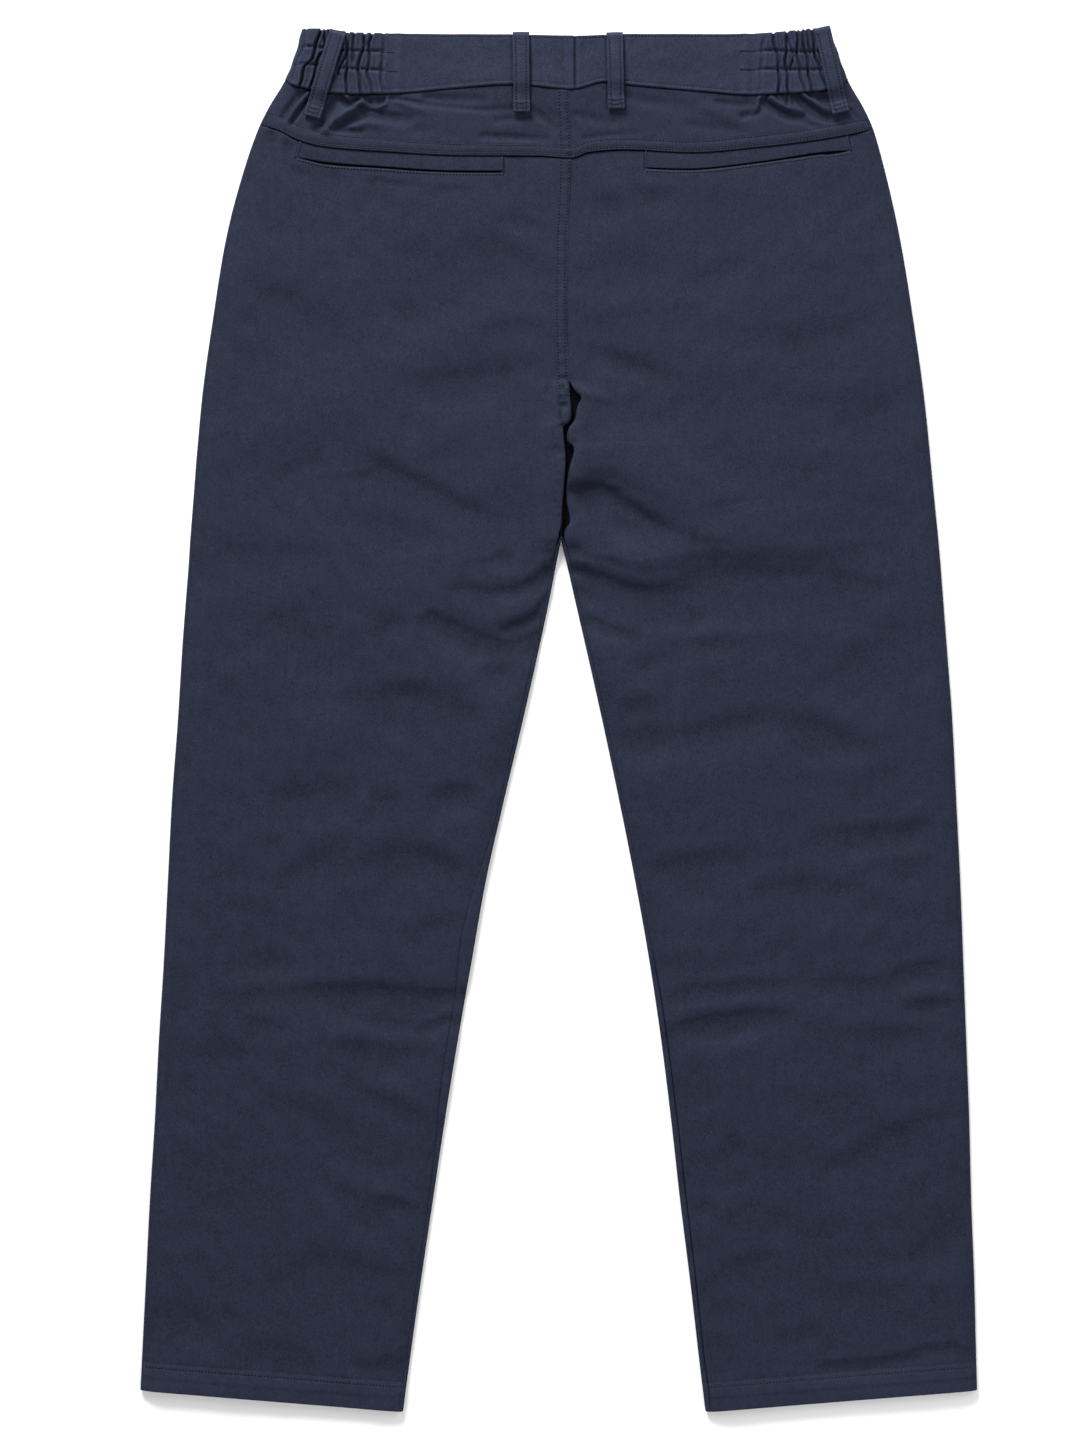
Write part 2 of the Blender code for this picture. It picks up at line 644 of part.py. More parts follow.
def drill(button, name, angle):
    """Cuts one thread hole through the button."""
    bm = bmesh.new()
    radius, length = BUTTON_HOLE_RADIUS * MM, 4 * BUTTON_THICKNESS * MM
    segments = BUTTON_HOLE_SEGMENTS
    bmesh.ops.create_cone(bm, cap_ends=True, segments=segments, radius1=radius, radius2=radius, depth=length)
    cutter = placed(name, bm, BUTTON_PLASTIC)
    reach = BUTTON_HOLE_REACH * MM
    cutter.location = (reach * math.cos(angle), reach * math.sin(angle), 0.0)
    cutter.parent = button
    cutter.hide_render = True
    cutter.display_type = "WIRE"
    cut = button.modifiers.new(name, "BOOLEAN")
    cut.operation = "DIFFERENCE"
    cut.object = cutter


def make_button():
    """The waist button, face down on the surface, with four holes."""
    bm = bmesh.new()
    verts = [bm.verts.new((r * MM, 0.0, z * MM)) for r, z in BUTTON_PROFILE]
    edges = [bm.edges.new(pair) for pair in zip(verts, verts[1:])]
    turn = {"cent": (0, 0, 0), "axis": (0, 0, 1), "angle": 2 * math.pi, "steps": BUTTON_SEGMENTS}
    bmesh.ops.spin(bm, geom=verts + edges, use_merge=True, **turn)
    bmesh.ops.remove_doubles(bm, verts=bm.verts, dist=0.01 * MM)
    button = placed("waist_button", bm, BUTTON_PLASTIC)
    button.location = np.array(point(CENTRE_X, BUTTON_DOWN, 0.0)) * MM
    for k in range(4):
        drill(button, "thread_hole_" + str(k + 1), math.pi / 4 + k * math.pi / 2)


def main():
    for obj in list(bpy.data.objects):
        bpy.data.objects.remove(obj)
    for side in (LEFT, RIGHT):
        make_back(side)
        make_front(side)
        make_yoke(side)
        make_waistband(side)
        make_welt(side)
        make_front_loop(side)
    for row in BACK_LOOPS:
        make_back_loop(*row)
    make_button()


main()
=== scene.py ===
"""Looks of the navy work trousers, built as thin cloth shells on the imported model's forms.

Frame: +X is the wearer's right, +Y points to the waist and +Z up. Sizes and tables are in millimetres,
and MM turns them into metres as each mesh is made. "down" is the distance from the top of the waist
towards the hems, so y = TOP_Y - down. "side" is -1 for the wearer's left and +1 for the right.
"""

import math

import bpy
import numpy as np
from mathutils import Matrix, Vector
from mathutils.bvhtree import BVHTree


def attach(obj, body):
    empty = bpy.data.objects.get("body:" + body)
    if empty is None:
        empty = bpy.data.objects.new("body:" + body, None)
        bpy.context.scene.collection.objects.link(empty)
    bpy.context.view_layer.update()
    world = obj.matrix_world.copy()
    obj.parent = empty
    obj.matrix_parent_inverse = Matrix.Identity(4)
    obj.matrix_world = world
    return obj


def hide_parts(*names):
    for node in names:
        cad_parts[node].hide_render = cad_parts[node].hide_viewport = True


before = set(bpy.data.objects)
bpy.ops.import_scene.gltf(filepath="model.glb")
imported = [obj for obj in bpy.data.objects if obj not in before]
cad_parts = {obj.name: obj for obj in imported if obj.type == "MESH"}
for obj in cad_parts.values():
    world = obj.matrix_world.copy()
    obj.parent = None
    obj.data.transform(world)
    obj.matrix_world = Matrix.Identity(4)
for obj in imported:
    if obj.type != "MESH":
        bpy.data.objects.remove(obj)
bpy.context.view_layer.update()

MM = 0.001
LEFT, RIGHT = -1, 1
SIDES = (LEFT, RIGHT)
SIDE_NAME = {LEFT: "left", RIGHT: "right"}

# The garment's form, with the same values as its solids
TOP_Y = 525.0
CLOTH, HEM_CLOTH, BAND_CLOTH, LOOP_CLOTH = 1.2, 2.1, 2.0, 1.2
SEAM_GAP = 0.3
CENTRE_GAP = 0.03
CENTRE_X = 9.0
HEM_DOWN, HEM_DEPTH, HEM_RAMP = 1042.0, 20.0, 26.0
HEM_SLANT, SLANT_STARTS = 16.0, 300.0
EDGE_RADIUS, HEM_EDGE_RADIUS = 1.8, 2.4
UNDER_MARGIN = 3.0
CROWN, CROWN_WIDTH = 1.8, 16.0
LEG_SWELL, LEG_SWELL_STARTS, LEG_SWELL_RAMP = 0.5, 110.0, 120.0
CROTCH_SWELL, CROTCH_MIDDLE, CROTCH_REACH = 2.2, (10.0, 385.0), 120.0
YOKE_PROUD, YOKE_RISE_REACH = 1.4, 30.0
SINK_STARTS, SINK_ENDS = 258.0, 300.0
ROLL_STARTS, ROLL_LENGTH = 376.0, 20.0
ROLL_ROOM = ((0.0, 0.15), (0.25, 1.9), (0.5, 2.1), (0.75, 3.0), (1.0, 3.35))
BAND_BACK_SEAM_X = 12.5
BAND_HEIGHT, BAND_PROUD = 6.8, 0.7
BAND_CENTRE_RISE, BAND_CENTRE_REACH = 2.6, 105.0
LINING_SHARE = 0.35
LAP, LAP_RAMP = 18.0, 14.0
LOOP_WIDTH, LOOP_SIDE_IN = 12.0, 0.5
LOOP_LIFT, BUTTON_LIFT = 1.5, 2.6
BUTTON_LIFT_FLAT, BUTTON_LIFT_REACH = 11.0, 55.0
LIFT_ENDS, LIFT_RAMP = 62.0, 28.0
SIDE_SEAM_TOP_DOWN = 56.0
FRONT_SEAM_AT_SIDE, FRONT_SEAM_AT_CENTRE = 39.7, 45.5
FRONT_LOOP_FROM_CENTRE = 108.0
FRONT_LOOP_SPAN = (5.6, 59.5)
FLY_WIDTH, FLY_STRAIGHT_TO, FLY_ENDS = 36.0, 165.0, 196.0

# The outline: down, then x of the left side, both inner edges and the right side
OUTLINE = (
    (0, -194.5, 9.0, 9.0, 205.5), (20, -200.0, 9.0, 9.0, 212.5), (40, -208.0, 8.0, 8.0, 220.0),
    (60, -220.0, 8.0, 8.0, 231.5), (75, -227.5, 9.0, 9.0, 238.5), (100, -236.7, 9.5, 9.5, 245.9),
    (160, -252.7, 7.0, 7.0, 259.5), (220, -262.5, 6.2, 6.2, 269.3), (280, -270.8, 8.8, 8.8, 277.7),
    (291, -271.9, 9.9, 9.9, 278.9), (296, -272.4, 9.6, 9.6, 279.5), (299.5, -272.7, 7.5, 7.5, 279.8),
    (303, -273.0, 3.6, 3.6, 280.2), (312, -273.8, 4.2, 4.2, 281.1), (328, -275.2, 5.4, 5.4, 282.6),
    (348, -276.7, 4.2, 4.2, 284.5), (370, -278.4, 2.5, 2.5, 286.7), (388, -279.8, 2.0, 2.2, 288.5),
    (394, -280.2, 0.8, 3.3, 289.0), (404, -280.8, -1.2, 5.7, 289.9), (434, -283.1, -7.0, 12.5, 292.2),
    (464, -285.4, -13.3, 19.4, 294.5), (525, -289.2, -27.0, 33.1, 299.1),
    (586, -293.7, -41.4, 46.0, 302.1), (647, -296.8, -55.1, 58.1, 305.1),
    (707, -299.8, -65.7, 68.8, 307.4), (768, -303.6, -76.4, 77.9, 309.7),
    (829, -306.7, -86.3, 85.5, 312.0), (890, -310.5, -95.4, 92.3, 313.5),
    (951, -313.5, -104.5, 99.9, 315.8), (1011, -316.5, -112.9, 106.8, 317.3),
    (1050, -318.4, -118.0, 111.5, 318.4),
)
# How far each front's last strip lies on the back beside the inseam: down, left, right
INSEAM_WRAP = (
    (300, 1.1, 1.1), (600, 1.1, 1.1), (690, 9.2, 1.4), (738, 6.2, 2.4), (776, 5.8, 2.6), (814, 4.8, 2.6),
    (856, 2.0, 2.7), (900, 1.2, 2.8), (960, 1.1, 2.2), (1050, 1.1, 1.6),
)
# Seams as (x, down) points, belt loops as (node, top x, top down, foot x, foot down)
WAIST_TOP = (
    (-194, 0.4), (-180, 0.8), (-150, 3.8), (-120, 4.2), (-35, 5.0), (12, 6.2), (50, 4.6), (150, 4.2),
    (180, 2.0), (196, 0.5), (205, 0.8),
)
WAIST_SEAM = (
    (-208, 39.7), (-195, 44.6), (-154, 49.8), (-122, 48.8), (-82, 45.2), (-35, 42.2), (10, 46.0),
    (35, 40.4), (50, 42.2), (110, 47.3), (144, 49.9), (176, 49.0), (202, 46.8), (220, 39.7),
)
YOKE_SEAM = (
    (-227, 72.6), (-213, 77.0), (-198, 84.4), (-178, 89.7), (-129, 93.6), (-79, 96.3), (-17, 96.8),
    (9.5, 98.4), (23, 94.0), (49, 92.0), (101, 94.2), (151, 90.2), (184, 86.4), (225, 79.6), (239, 76.0),
)
BACK_LOOPS = (
    ("belt_loop_side_left", -167.5, 4.2, -187.0, 68.0), ("belt_loop_back_left", -28.5, 5.0, -28.0, 64.5),
    ("belt_loop_back_right", 42.5, 5.2, 43.8, 62.0), ("belt_loop_side_right", 199.5, 1.6, 214.0, 65.0),
)
# Pockets: the x of a welt's outer and inner end, and (x, how far its mouth lies below the seam)
WELT_ENDS = {LEFT: (-197.0, -43.0), RIGHT: (219.5, 66.5)}
WELT_DROPS = {
    LEFT: (
        (-197, 13.2), (-190, 12.2), (-180, 11.7), (-160, 11.5), (-100, 11.8), (-43, 11.6),
    ),
    RIGHT: (
        (66.5, 13.2), (110, 12.2), (150, 11.2), (170, 10.5), (190, 9.8), (200, 10.0), (210, 10.8),
        (219.5, 12.0),
    ),
}

# Creases of the back: a soft trough from one end to the other, steep on its waist side and wider by
# HEM_SPREAD on its hem side. bow is how far the middle of its line lies towards the waist.
# Each row is (x1, down1, x2, down2, bow, half_width, depth).
HEM_SPREAD = 1.9
CREASE_SCALES = ((0, 2.4), (560, 2.8), (740, 2.4), (860, 2.0), (1050, 1.8))
CREASE_WIDEN = 1.35
CREASE_TAPER = 1.25
FOLD_SCALE, YOKE_FOLD_SCALE = 1.9, 1.8
FOLD_FADE, FOLD_FADE_STARTS = 0.5, 0.55
FOLD_SPREAD = 1.6
HOLLOW_MIDDLE, HOLLOW_FALL, HOLLOW_RISE = 3.0, 2.8, 6.0
BACK_CREASES = {
    LEFT: (
        (-196, 100, -158, 121, 0, 6, 0.5), (-52, 143, -6, 155, 0, 5, 0.4), (-72, 155, -4, 197, 3, 9, 1.1),
        (-133, 165, -67, 196, 0, 12, 0.5), (-123, 206, -95, 227, 0, 8, 0.6),
        (-234, 191, -158, 242, 0, 11, 0.8), (-67, 237, -6, 226, 4, 7, 0.6),
        (-257, 236, -207, 263, 0, 12, 0.6), (-118, 273, -6, 254, -4, 9, 1.3),
        (-108, 323, -57, 335, 0, 12, 0.5), (-232, 359, -174, 323, 0, 8, 0.4),
        (-158, 320, -44, 377, -3, 7, 1.0), (-156, 373, -80, 391, 0, 9, 1.1),
        (-280, 399, -158, 405, 0, 8, 0.4), (-146, 447, -115, 455, 0, 6, 0.5),
        (-95, 440, -14, 465, -5, 7, 0.7), (-234, 454, -153, 471, 0, 12, 0.5),
        (-63, 488, -24, 485, 0, 5, 0.9), (-161, 510, -55, 528, 8, 11, 1.9),
        (-101, 582, -56, 577, 0, 6, 0.9), (-222, 587, -148, 577, 0, 8, 1.0),
        (-146, 583, -118, 589, 0, 6, 0.5), (-146, 622, -62, 646, 4, 8, 1.2),
        (-156, 638, -113, 634, 0, 8, 0.7), (-218, 658, -146, 622, 6, 9, 0.9),
        (-118, 693, -72, 671, 0, 6, 0.6), (-247, 708, -194, 711, 0, 8, 0.6),
        (-196, 730, -71, 734, -2, 6, 2.3), (-262, 736, -181, 732, 0, 6, 0.8),
        (-156, 752, -84, 757, 0, 4, 0.9), (-242, 753, -204, 761, 0, 6, 0.5),
        (-181, 773, -94, 780, 0, 7, 1.3), (-283, 768, -221, 785, 0, 8, 0.4),
        (-299, 862, -289, 708, 0, 5, 0.7), (-166, 799, -93, 830, 0, 7, 0.9),
        (-240, 805, -108, 869, 3, 10, 1.1), (-146, 887, -103, 896, 0, 4, 0.9),
        (-181, 869, -119, 916, 0, 6, 0.8), (-262, 920, -241, 962, 0, 10, 0.4),
        (-227, 947, -118, 952, 10, 9, 0.9), (-309, 964, -245, 997, 0, 8, 0.7),
        (-245, 997, -179, 1012, 0, 8, 0.6), (-156, 1015, -114, 1014, 0, 6, 0.8),
    ),
    RIGHT: (
        (53, 124, 90, 128, 0, 4, 0.6), (19, 131, 55, 136, 0, 6, 0.6), (216, 182, 254, 180, 0, 8, 0.4),
        (24, 175, 82, 192, 3, 12, 0.8), (90, 201, 148, 171, 0, 6, 0.4), (19, 222, 110, 213, 0, 6, 0.4),
        (161, 242, 263, 207, -4, 9, 0.7), (18, 243, 92, 268, 0, 6, 1.2), (44, 277, 148, 303, 3, 14, 0.6),
        (206, 303, 270, 286, 0, 10, 0.7), (110, 312, 158, 349, 0, 12, 0.5),
        (196, 369, 283, 371, 5, 10, 0.6), (44, 471, 178, 463, 0, 5, 0.5),
        (196, 501, 288, 448, 0, 12, 0.9), (44, 483, 97, 477, 0, 5, 0.5), (38, 516, 87, 514, 0, 7, 0.7),
        (82, 539, 166, 525, 0, 8, 1.3), (161, 525, 237, 549, 2, 9, 1.0), (39, 540, 88, 538, 0, 7, 1.4),
        (209, 579, 262, 566, 0, 10, 0.5), (189, 614, 292, 606, 0, 6, 1.1),
        (66, 638, 151, 628, -3, 9, 1.6), (234, 637, 291, 634, 0, 6, 0.6),
        (130, 663, 262, 673, 18, 7, 0.5), (244, 721, 304, 707, 0, 5, 0.9),
        (178, 723, 262, 726, 0, 5, 0.5), (81, 731, 181, 723, 0, 4, 0.6), (257, 742, 307, 738, 0, 4, 0.9),
        (80, 762, 176, 747, 2, 5, 2.0), (224, 766, 292, 760, 0, 6, 0.7), (101, 778, 114, 820, 0, 8, 0.5),
        (178, 824, 190, 861, 0, 12, 0.3), (123, 838, 144, 856, 0, 6, 0.5),
        (196, 874, 308, 821, 4, 8, 1.2), (97, 893, 120, 892, 0, 4, 0.5), (127, 889, 185, 911, 0, 8, 0.5),
        (257, 942, 312, 891, -4, 7, 1.2), (117, 944, 169, 930, 0, 7, 1.0),
        (189, 962, 252, 951, 0, 10, 0.4), (135, 997, 227, 991, 0, 8, 0.6),
    ),
}

# Curved folds of the back: (depth, half_width at the start, half_width at the end, line of (x, down)).
# A depth below 0 makes a ridge.
BACK_FOLDS = {
    LEFT: (
        (1.0, 2.5, 4.0, ((-3, 404), (-7, 414), (-10, 426))),
        (2.2, 3.5, 3.5, ((-34, 452), (-25, 450), (-16, 444), (-10, 434))),
        (1.3, 3.5, 5.0, ((-9, 410), (-16, 418), (-27, 425), (-40, 428), (-56, 427), (-72, 423))),
        (2.4, 5.0, 5.0, ((-14, 460), (-26, 465), (-40, 468), (-60, 464), (-76, 457), (-96, 446))),
        (0.9, 6.0, 6.0, ((-44, 402), (-32, 405))),
        (1.3, 10.0, 11.0, ((-130, 337), (-104, 351), (-62, 370))),
        (-0.8, 5.0, 5.0, ((-42, 414), (-22, 411), (-12, 402))),
        (-0.6, 5.0, 5.0, ((-40, 436), (-26, 434), (-18, 430))), (0.5, 3.0, 3.0, ((-1, 319), (0, 327))),
        (0.4, 3.0, 4.0, ((-7, 273), (-11, 281))), (0.7, 3.0, 3.0, ((-206, 88), (-206, 98))),
        (0.6, 3.0, 4.0, ((-218, 80), (-218, 90))), (-0.4, 2.5, 2.5, ((-211, 84), (-210, 98))),
        (0.4, 2.5, 2.0, ((-201, 106), (-190, 109))),
        (0.4, 2.2, 2.2, ((-140, 115), (-125, 117), (-105, 119))),
        (0.35, 2.5, 2.5, ((-86, 121), (-62, 123))),
        (1.5, 5.0, 4.0, ((-128, 744), (-112, 741), (-95, 736), (-74, 731))),
        (1.5, 1.6, 2.5, ((-74, 751), (-84, 750), (-92, 753), (-104, 757))),
        (0.7, 1.2, 1.2, ((-109, 744.5), (-98, 745.5), (-90, 746.5))),
    ),
    RIGHT: (
        (2.4, 2.8, 5.0, ((5, 353), (12, 350), (20, 348), (32, 348))),
        (-2.2, 8.0, 12.0, ((14, 337), (22, 331), (40, 328), (60, 336), (80, 347), (104, 358))),
        (3.6, 7.0, 10.0,
         ((8, 358), (16, 357), (28, 356), (40, 358), (52, 365), (62, 372), (80, 381), (100, 388))),
        (-2.0, 8.0, 14.0, ((56, 402), (80, 399), (100, 394), (120, 391), (160, 390), (205, 390))),
        (2.6, 11.0, 15.0,
         ((24, 424), (40, 430), (60, 438), (80, 436), (100, 427), (120, 419), (160, 418), (205, 416))),
        (3.2, 3.0, 7.0, ((9, 410), (16, 411), (26, 416), (40, 422))),
        (-1.6, 3.5, 4.0, ((13, 418), (20, 421), (25, 425))),
        (1.5, 4.5, 5.0, ((36, 424), (50, 425), (66, 427), (82, 424))),
        (1.0, 4.0, 4.5, ((54, 429), (72, 432), (98, 441))),
        (1.3, 2.2, 3.0, ((22, 447), (30, 450), (38, 455), (56, 458))),
        (-0.6, 4.0, 4.0, ((20, 436), (36, 440), (48, 446))),
        (0.9, 3.0, 5.0, ((13, 276), (18, 281), (28, 284))), (0.6, 2.5, 2.5, ((11, 314), (13, 322))),
        (0.4, 2.0, 2.0, ((13, 393), (17, 398))),
        (0.9, 3.0, 3.5, ((204, 1014), (233, 1013), (263, 1008), (280, 1001), (301, 999), (307, 1002))),
    ),
}

# The same kind of creases pressed up into the front, which lies face down
FRONT_CREASES = {
    LEFT: (
        (-190, 150, -60, 185, 4, 9, 1.0), (-120, 250, -20, 232, 5, 7, 1.3),
        (-240, 300, -150, 330, 0, 8, 0.8), (-90, 345, -15, 325, -3, 6, 1.4),
        (-130, 392, -25, 405, 4, 7, 1.3), (-110, 445, -25, 468, 0, 8, 1.1),
        (-240, 505, -120, 492, 0, 10, 0.9), (-180, 585, -60, 610, 6, 8, 1.3),
        (-230, 655, -110, 640, 0, 6, 0.9), (-260, 722, -90, 735, -4, 7, 1.9),
        (-200, 760, -95, 752, 0, 5, 1.1), (-240, 830, -130, 812, 3, 8, 0.9),
        (-220, 890, -110, 915, 0, 9, 1.0), (-280, 960, -170, 938, 4, 8, 0.9),
    ),
    RIGHT: (
        (60, 175, 190, 150, -4, 9, 1.0), (25, 240, 120, 262, 3, 7, 1.2), (150, 318, 250, 290, 0, 9, 0.8),
        (22, 335, 105, 352, -4, 6, 1.5), (30, 398, 140, 388, 4, 7, 1.2), (35, 452, 115, 440, 0, 7, 1.1),
        (120, 520, 260, 505, 5, 10, 0.9), (60, 602, 180, 590, -3, 8, 1.2),
        (130, 668, 250, 650, 0, 7, 0.8), (85, 742, 270, 728, 4, 7, 1.8), (95, 770, 190, 778, 0, 5, 1.0),
        (140, 838, 270, 855, -3, 8, 0.9), (110, 905, 230, 880, 0, 9, 1.0),
        (150, 975, 285, 955, 4, 8, 0.9),
    ),
}

# Folds of the yoke, where the gathers let go and beside the centre seam, as in BACK_FOLDS
YOKE_FOLDS = (
    (2.8, 2.2, 3.4, ((-168, 50), (-173, 60), (-179, 70), (-184, 77))),
    (-1.6, 1.8, 2.6, ((-163, 50), (-160, 55))),
    (-2.1, 2.3, 4.4, ((-146, 55), (-153, 59), (-162, 65), (-171, 72), (-176, 78))),
    (2.4, 2.2, 2.6, ((-165, 54), (-160, 58), (-157, 59))), (2.4, 1.6, 1.6, ((-158, 57), (-152, 53))),
    (2.4, 3.0, 3.6, ((-167, 74), (-158, 71), (-149, 67), (-140, 64))),
    (1.2, 2.0, 2.6, ((-172, 77), (-162, 78), (-150, 79))),
    (2.2, 2.6, 4.2, ((-149, 61), (-140, 65), (-129, 68), (-114, 70))),
    (-0.9, 3.0, 4.0, ((-158, 74), (-146, 72), (-132, 74))),
    (2.4, 1.8, 2.2, ((-146, 55), (-139, 55.5), (-133, 54))),
    (-1.0, 1.7, 1.2, ((-149, 58), (-144, 61), (-137, 61.5), (-131, 58), (-129, 52))),
    (2.0, 1.4, 1.2, ((-149, 50), (-148, 54))),
    (2.2, 1.4, 1.6, ((-191, 55), (-197, 64), (-202, 71), (-204, 77))),
    (2.0, 2.2, 2.4, ((-196, 50), (-203, 59), (-208, 66), (-211, 73))),
    (-1.2, 1.8, 2.0, ((-190, 50), (-200, 61), (-206, 71))),
    (-0.8, 2.4, 4.0, ((-122, 55), (-112, 60), (-98, 64))),
    (1.2, 3.0, 4.0, ((-100, 53), (-80, 54), (-58, 55))),
    (0.8, 1.6, 2.6, ((-128, 53), (-105, 57), (-80, 60), (-55, 62), (-30, 61))),
    (0.8, 3.0, 3.0, ((-57, 82), (-30, 83), (-10, 84))), (0.6, 3.0, 4.0, ((-46, 70), (-4, 66))),
    (0.7, 2.6, 3.0, ((-22, 60), (-2, 76))), (0.5, 4.0, 4.0, ((-112, 78), (-96, 77))),
    (3.0, 2.0, 3.2, ((155, 56), (160, 60), (165, 63), (171, 66), (177, 68), (184, 68.5))),
    (-1.8, 2.4, 3.0, ((160, 52), (166, 57), (174, 61), (184, 63))),
    (3.4, 2.0, 3.4, ((179, 50.5), (184, 56), (190, 61), (197, 66), (208, 70))),
    (-1.9, 2.4, 3.0, ((185, 50), (192, 55), (200, 61), (207, 63))),
    (2.4, 2.6, 2.8, ((190, 49.5), (196, 51.5), (204, 55))), (1.0, 0.9, 0.9, ((173.5, 51), (173, 59))),
    (1.5, 1.1, 0.9, ((175.5, 50), (178, 58))),
    (-1.3, 1.4, 2.0, ((156, 50), (152, 54), (150, 62), (145, 68))),
    (1.2, 2.0, 2.0, ((159, 51), (155, 53))), (1.5, 2.6, 3.0, ((140, 67), (147, 66), (153, 62))),
    (0.7, 2.6, 3.0, ((188, 72), (196, 76), (205, 77))),
    (2.2, 2.0, 2.4, ((219, 48), (223, 53), (228, 58))),
    (1.4, 1.2, 1.2, ((222, 62), (226, 67), (230, 71))), (0.7, 4.0, 5.0, ((52, 52), (70, 56), (100, 60))),
    (0.6, 3.0, 4.0, ((14, 66), (40, 72))), (-0.6, 4.0, 5.0, ((112, 60), (138, 72))),
    (0.6, 4.0, 4.0, ((100, 74), (140, 78))), (0.5, 3.0, 3.0, ((20, 84), (60, 80))),
    (0.7, 2.0, 3.0, ((120, 56), (136, 58), (150, 57))),
)

# The furrows between the waistband's gathers: (depth, half_width, line), the line as (x, down) points
FURROWS = {
    LEFT: (
        (2.0, 1.4, ((-191, -2), (-194, 14), (-199, 27), (-203, 36))),
        (2.6, 1.3, ((-179, -2), (-184, 14), (-187, 24), (-192, 29), (-198, 50))),
        (1.5, 1.1, ((-177, -2), (-177, 17), (-181, 20), (-184, 31), (-189, 50))),
        (1.9, 1.3, ((-161.5, -2), (-160, 17), (-163, 25), (-167, 33))),
        (2.4, 1.2, ((-159, -2), (-160.5, 31), (-161, 52))),
        (1.1, 1.4, ((-154, -2), (-156, 16), (-156, 24))),
        (1.9, 1.4, ((-146.5, 2), (-147, 14), (-150, 20), (-152, 33), (-149, 52))),
        (1.7, 1.3, ((-139, -2), (-144, 12), (-143, 20), (-145, 33), (-141, 52))),
        (1.3, 1.6, ((-132.5, 2), (-132.5, 24), (-135, 30), (-132, 52))),
        (0.8, 1.3, ((-122, 32), (-122, 52))),
    ),
    RIGHT: (
        (0.8, 1.6, ((155, 12), (151, 52))), (1.9, 1.3, ((162, -2), (164, 16), (167, 27), (167, 52))),
        (2.1, 1.2, ((174, -2), (172, 24), (174.5, 52))), (1.2, 1.2, ((174, 8), (178, 22), (176, 30))),
        (1.7, 1.2, ((181, 4), (181, 24), (186, 48))),
        (2.5, 1.2, ((182.5, -2), (186, 14), (188, 22), (192, 52))), (1.3, 1.0, ((187, 3), (191, 18))),
        (2.3, 1.3, ((192, -2), (195, 24), (202, 42), (204, 52))), (1.3, 1.1, ((195.5, -2), (198, 16))),
        (1.9, 1.5, ((203, 8), (208, 26), (213, 52))),
    ),
}
GATHER_STARTS, GATHER_RAMP = {LEFT: -127.0, RIGHT: 146.0}, 12.0
PUFF = 2.1
MOST_FURROW, FURROW_SCALE = 4.4, 2.1
FURROW_NARROW, FURROW_FADE = 0.78, 5.0
EDGE_DIP = 0.5

# Rows of stitching that hold the elastic, as (x, down) from the plain band outwards
ELASTIC_ROWS = {
    LEFT: (
        ((-124, 18.2), (-165, 17.5), (-185, 14.6), (-199, 13.5)),
        ((-122, 32.5), (-162, 31.2), (-187, 28), (-204, 27)),
    ),
    RIGHT: (
        ((137, 17.2), (165, 17.6), (190, 18.6), (208, 17.5)),
        ((137, 31.2), (165, 31.6), (190, 32), (214, 31.5)),
    ),
}

# The slit below the centre seam: both legs' edges stand proud beside a hollow, dark from its depth
# and from the painted shade of the fronts' inner faces. SLIT_EDGE is the right leg's edge there, as
# (down, x), and the left leg's is in OUTLINE.
SLIT_STARTS, SLIT_ENDS, SLIT_RAMPS = 264.0, 399.0, (14.0, 16.0)
SLIT_LIP, SLIT_LIP_WIDTH = {LEFT: 3.4, RIGHT: 4.4}, 17.0
SLIT_STANDS = {LEFT: 4.0, RIGHT: 0.0}
SLIT_CURL, SLIT_CURL_WIDTH = {LEFT: 0.5, RIGHT: 1.0}, 2.4
SLIT_CURL_SPAN, SLIT_CURL_RAMP = (272.0, 389.0), 5.0
SLIT_EDGE = (
    (266, 6.9), (270, 9.6), (275, 12.2), (281, 17.2), (285, 15.2), (290, 13.6), (296, 12.6), (300, 10.4),
    (304, 7.6), (309, 6.3), (314, 6.8), (317, 10.8), (320, 11.6), (326, 10.6), (331, 8.9), (338, 7.4),
    (345, 6.4), (352, 5.9), (359, 6.0), (363.5, 7.0), (370, 8.3), (374, 8.7), (379, 7.0), (384, 4.8),
    (389, 3.6),
)
# Bumps and dents of the centre seam's end: (x, down, half_x, half_down, height)
FELL_BUMPS = (
    (5.6, 294.0, 3.6, 7.0, 1.8), (1.4, 294.0, 1.2, 6.0, -1.0), (4.0, 286.0, 4.6, 1.6, -1.5),
    (3.4, 301.5, 2.6, 1.6, -1.0), (2.0, 279.0, 2.0, 3.0, 0.7), (6.2, 273.0, 1.2, 3.4, 0.6),
    (5.6, 279.0, 0.8, 5.0, -0.8), (1.2, 270.0, 1.2, 3.0, 0.5), (3.6, 273.0, 0.7, 5.0, -0.6),
)

# How the rows and columns of the panels are laid
SEAM_LEVEL = 84.0
SEAM_FOLLOWED_FOR = 60.0
NEAR_SEAM = (0.35, 0.7, 1.2, 2.0, 3.2, 5.0, 7.0, 8.6, 9.6, 10.2, 10.8)
MOUTH_SPAN, MOUTH_STEP = (11.2, 14.2), 0.42
BELOW_MOUTH = (14.8, 15.8, 17.2, 19.0, 21.0, 23.4, 26.0)
SEAT_STARTS, CROTCH_STARTS, CROTCH_ENDS, LEG_STARTS = 112.8, 265, 404, 406
SEAT_STEP, CROTCH_STEP, LEG_STEP, HEM_STEP = 2.9, 1.8, 3.4, 1.2
FRONT_COARSER = 1.45
TUCK, TUCK_SHARE, TUCK_SUNK = 1.6, 0.03, 0.5
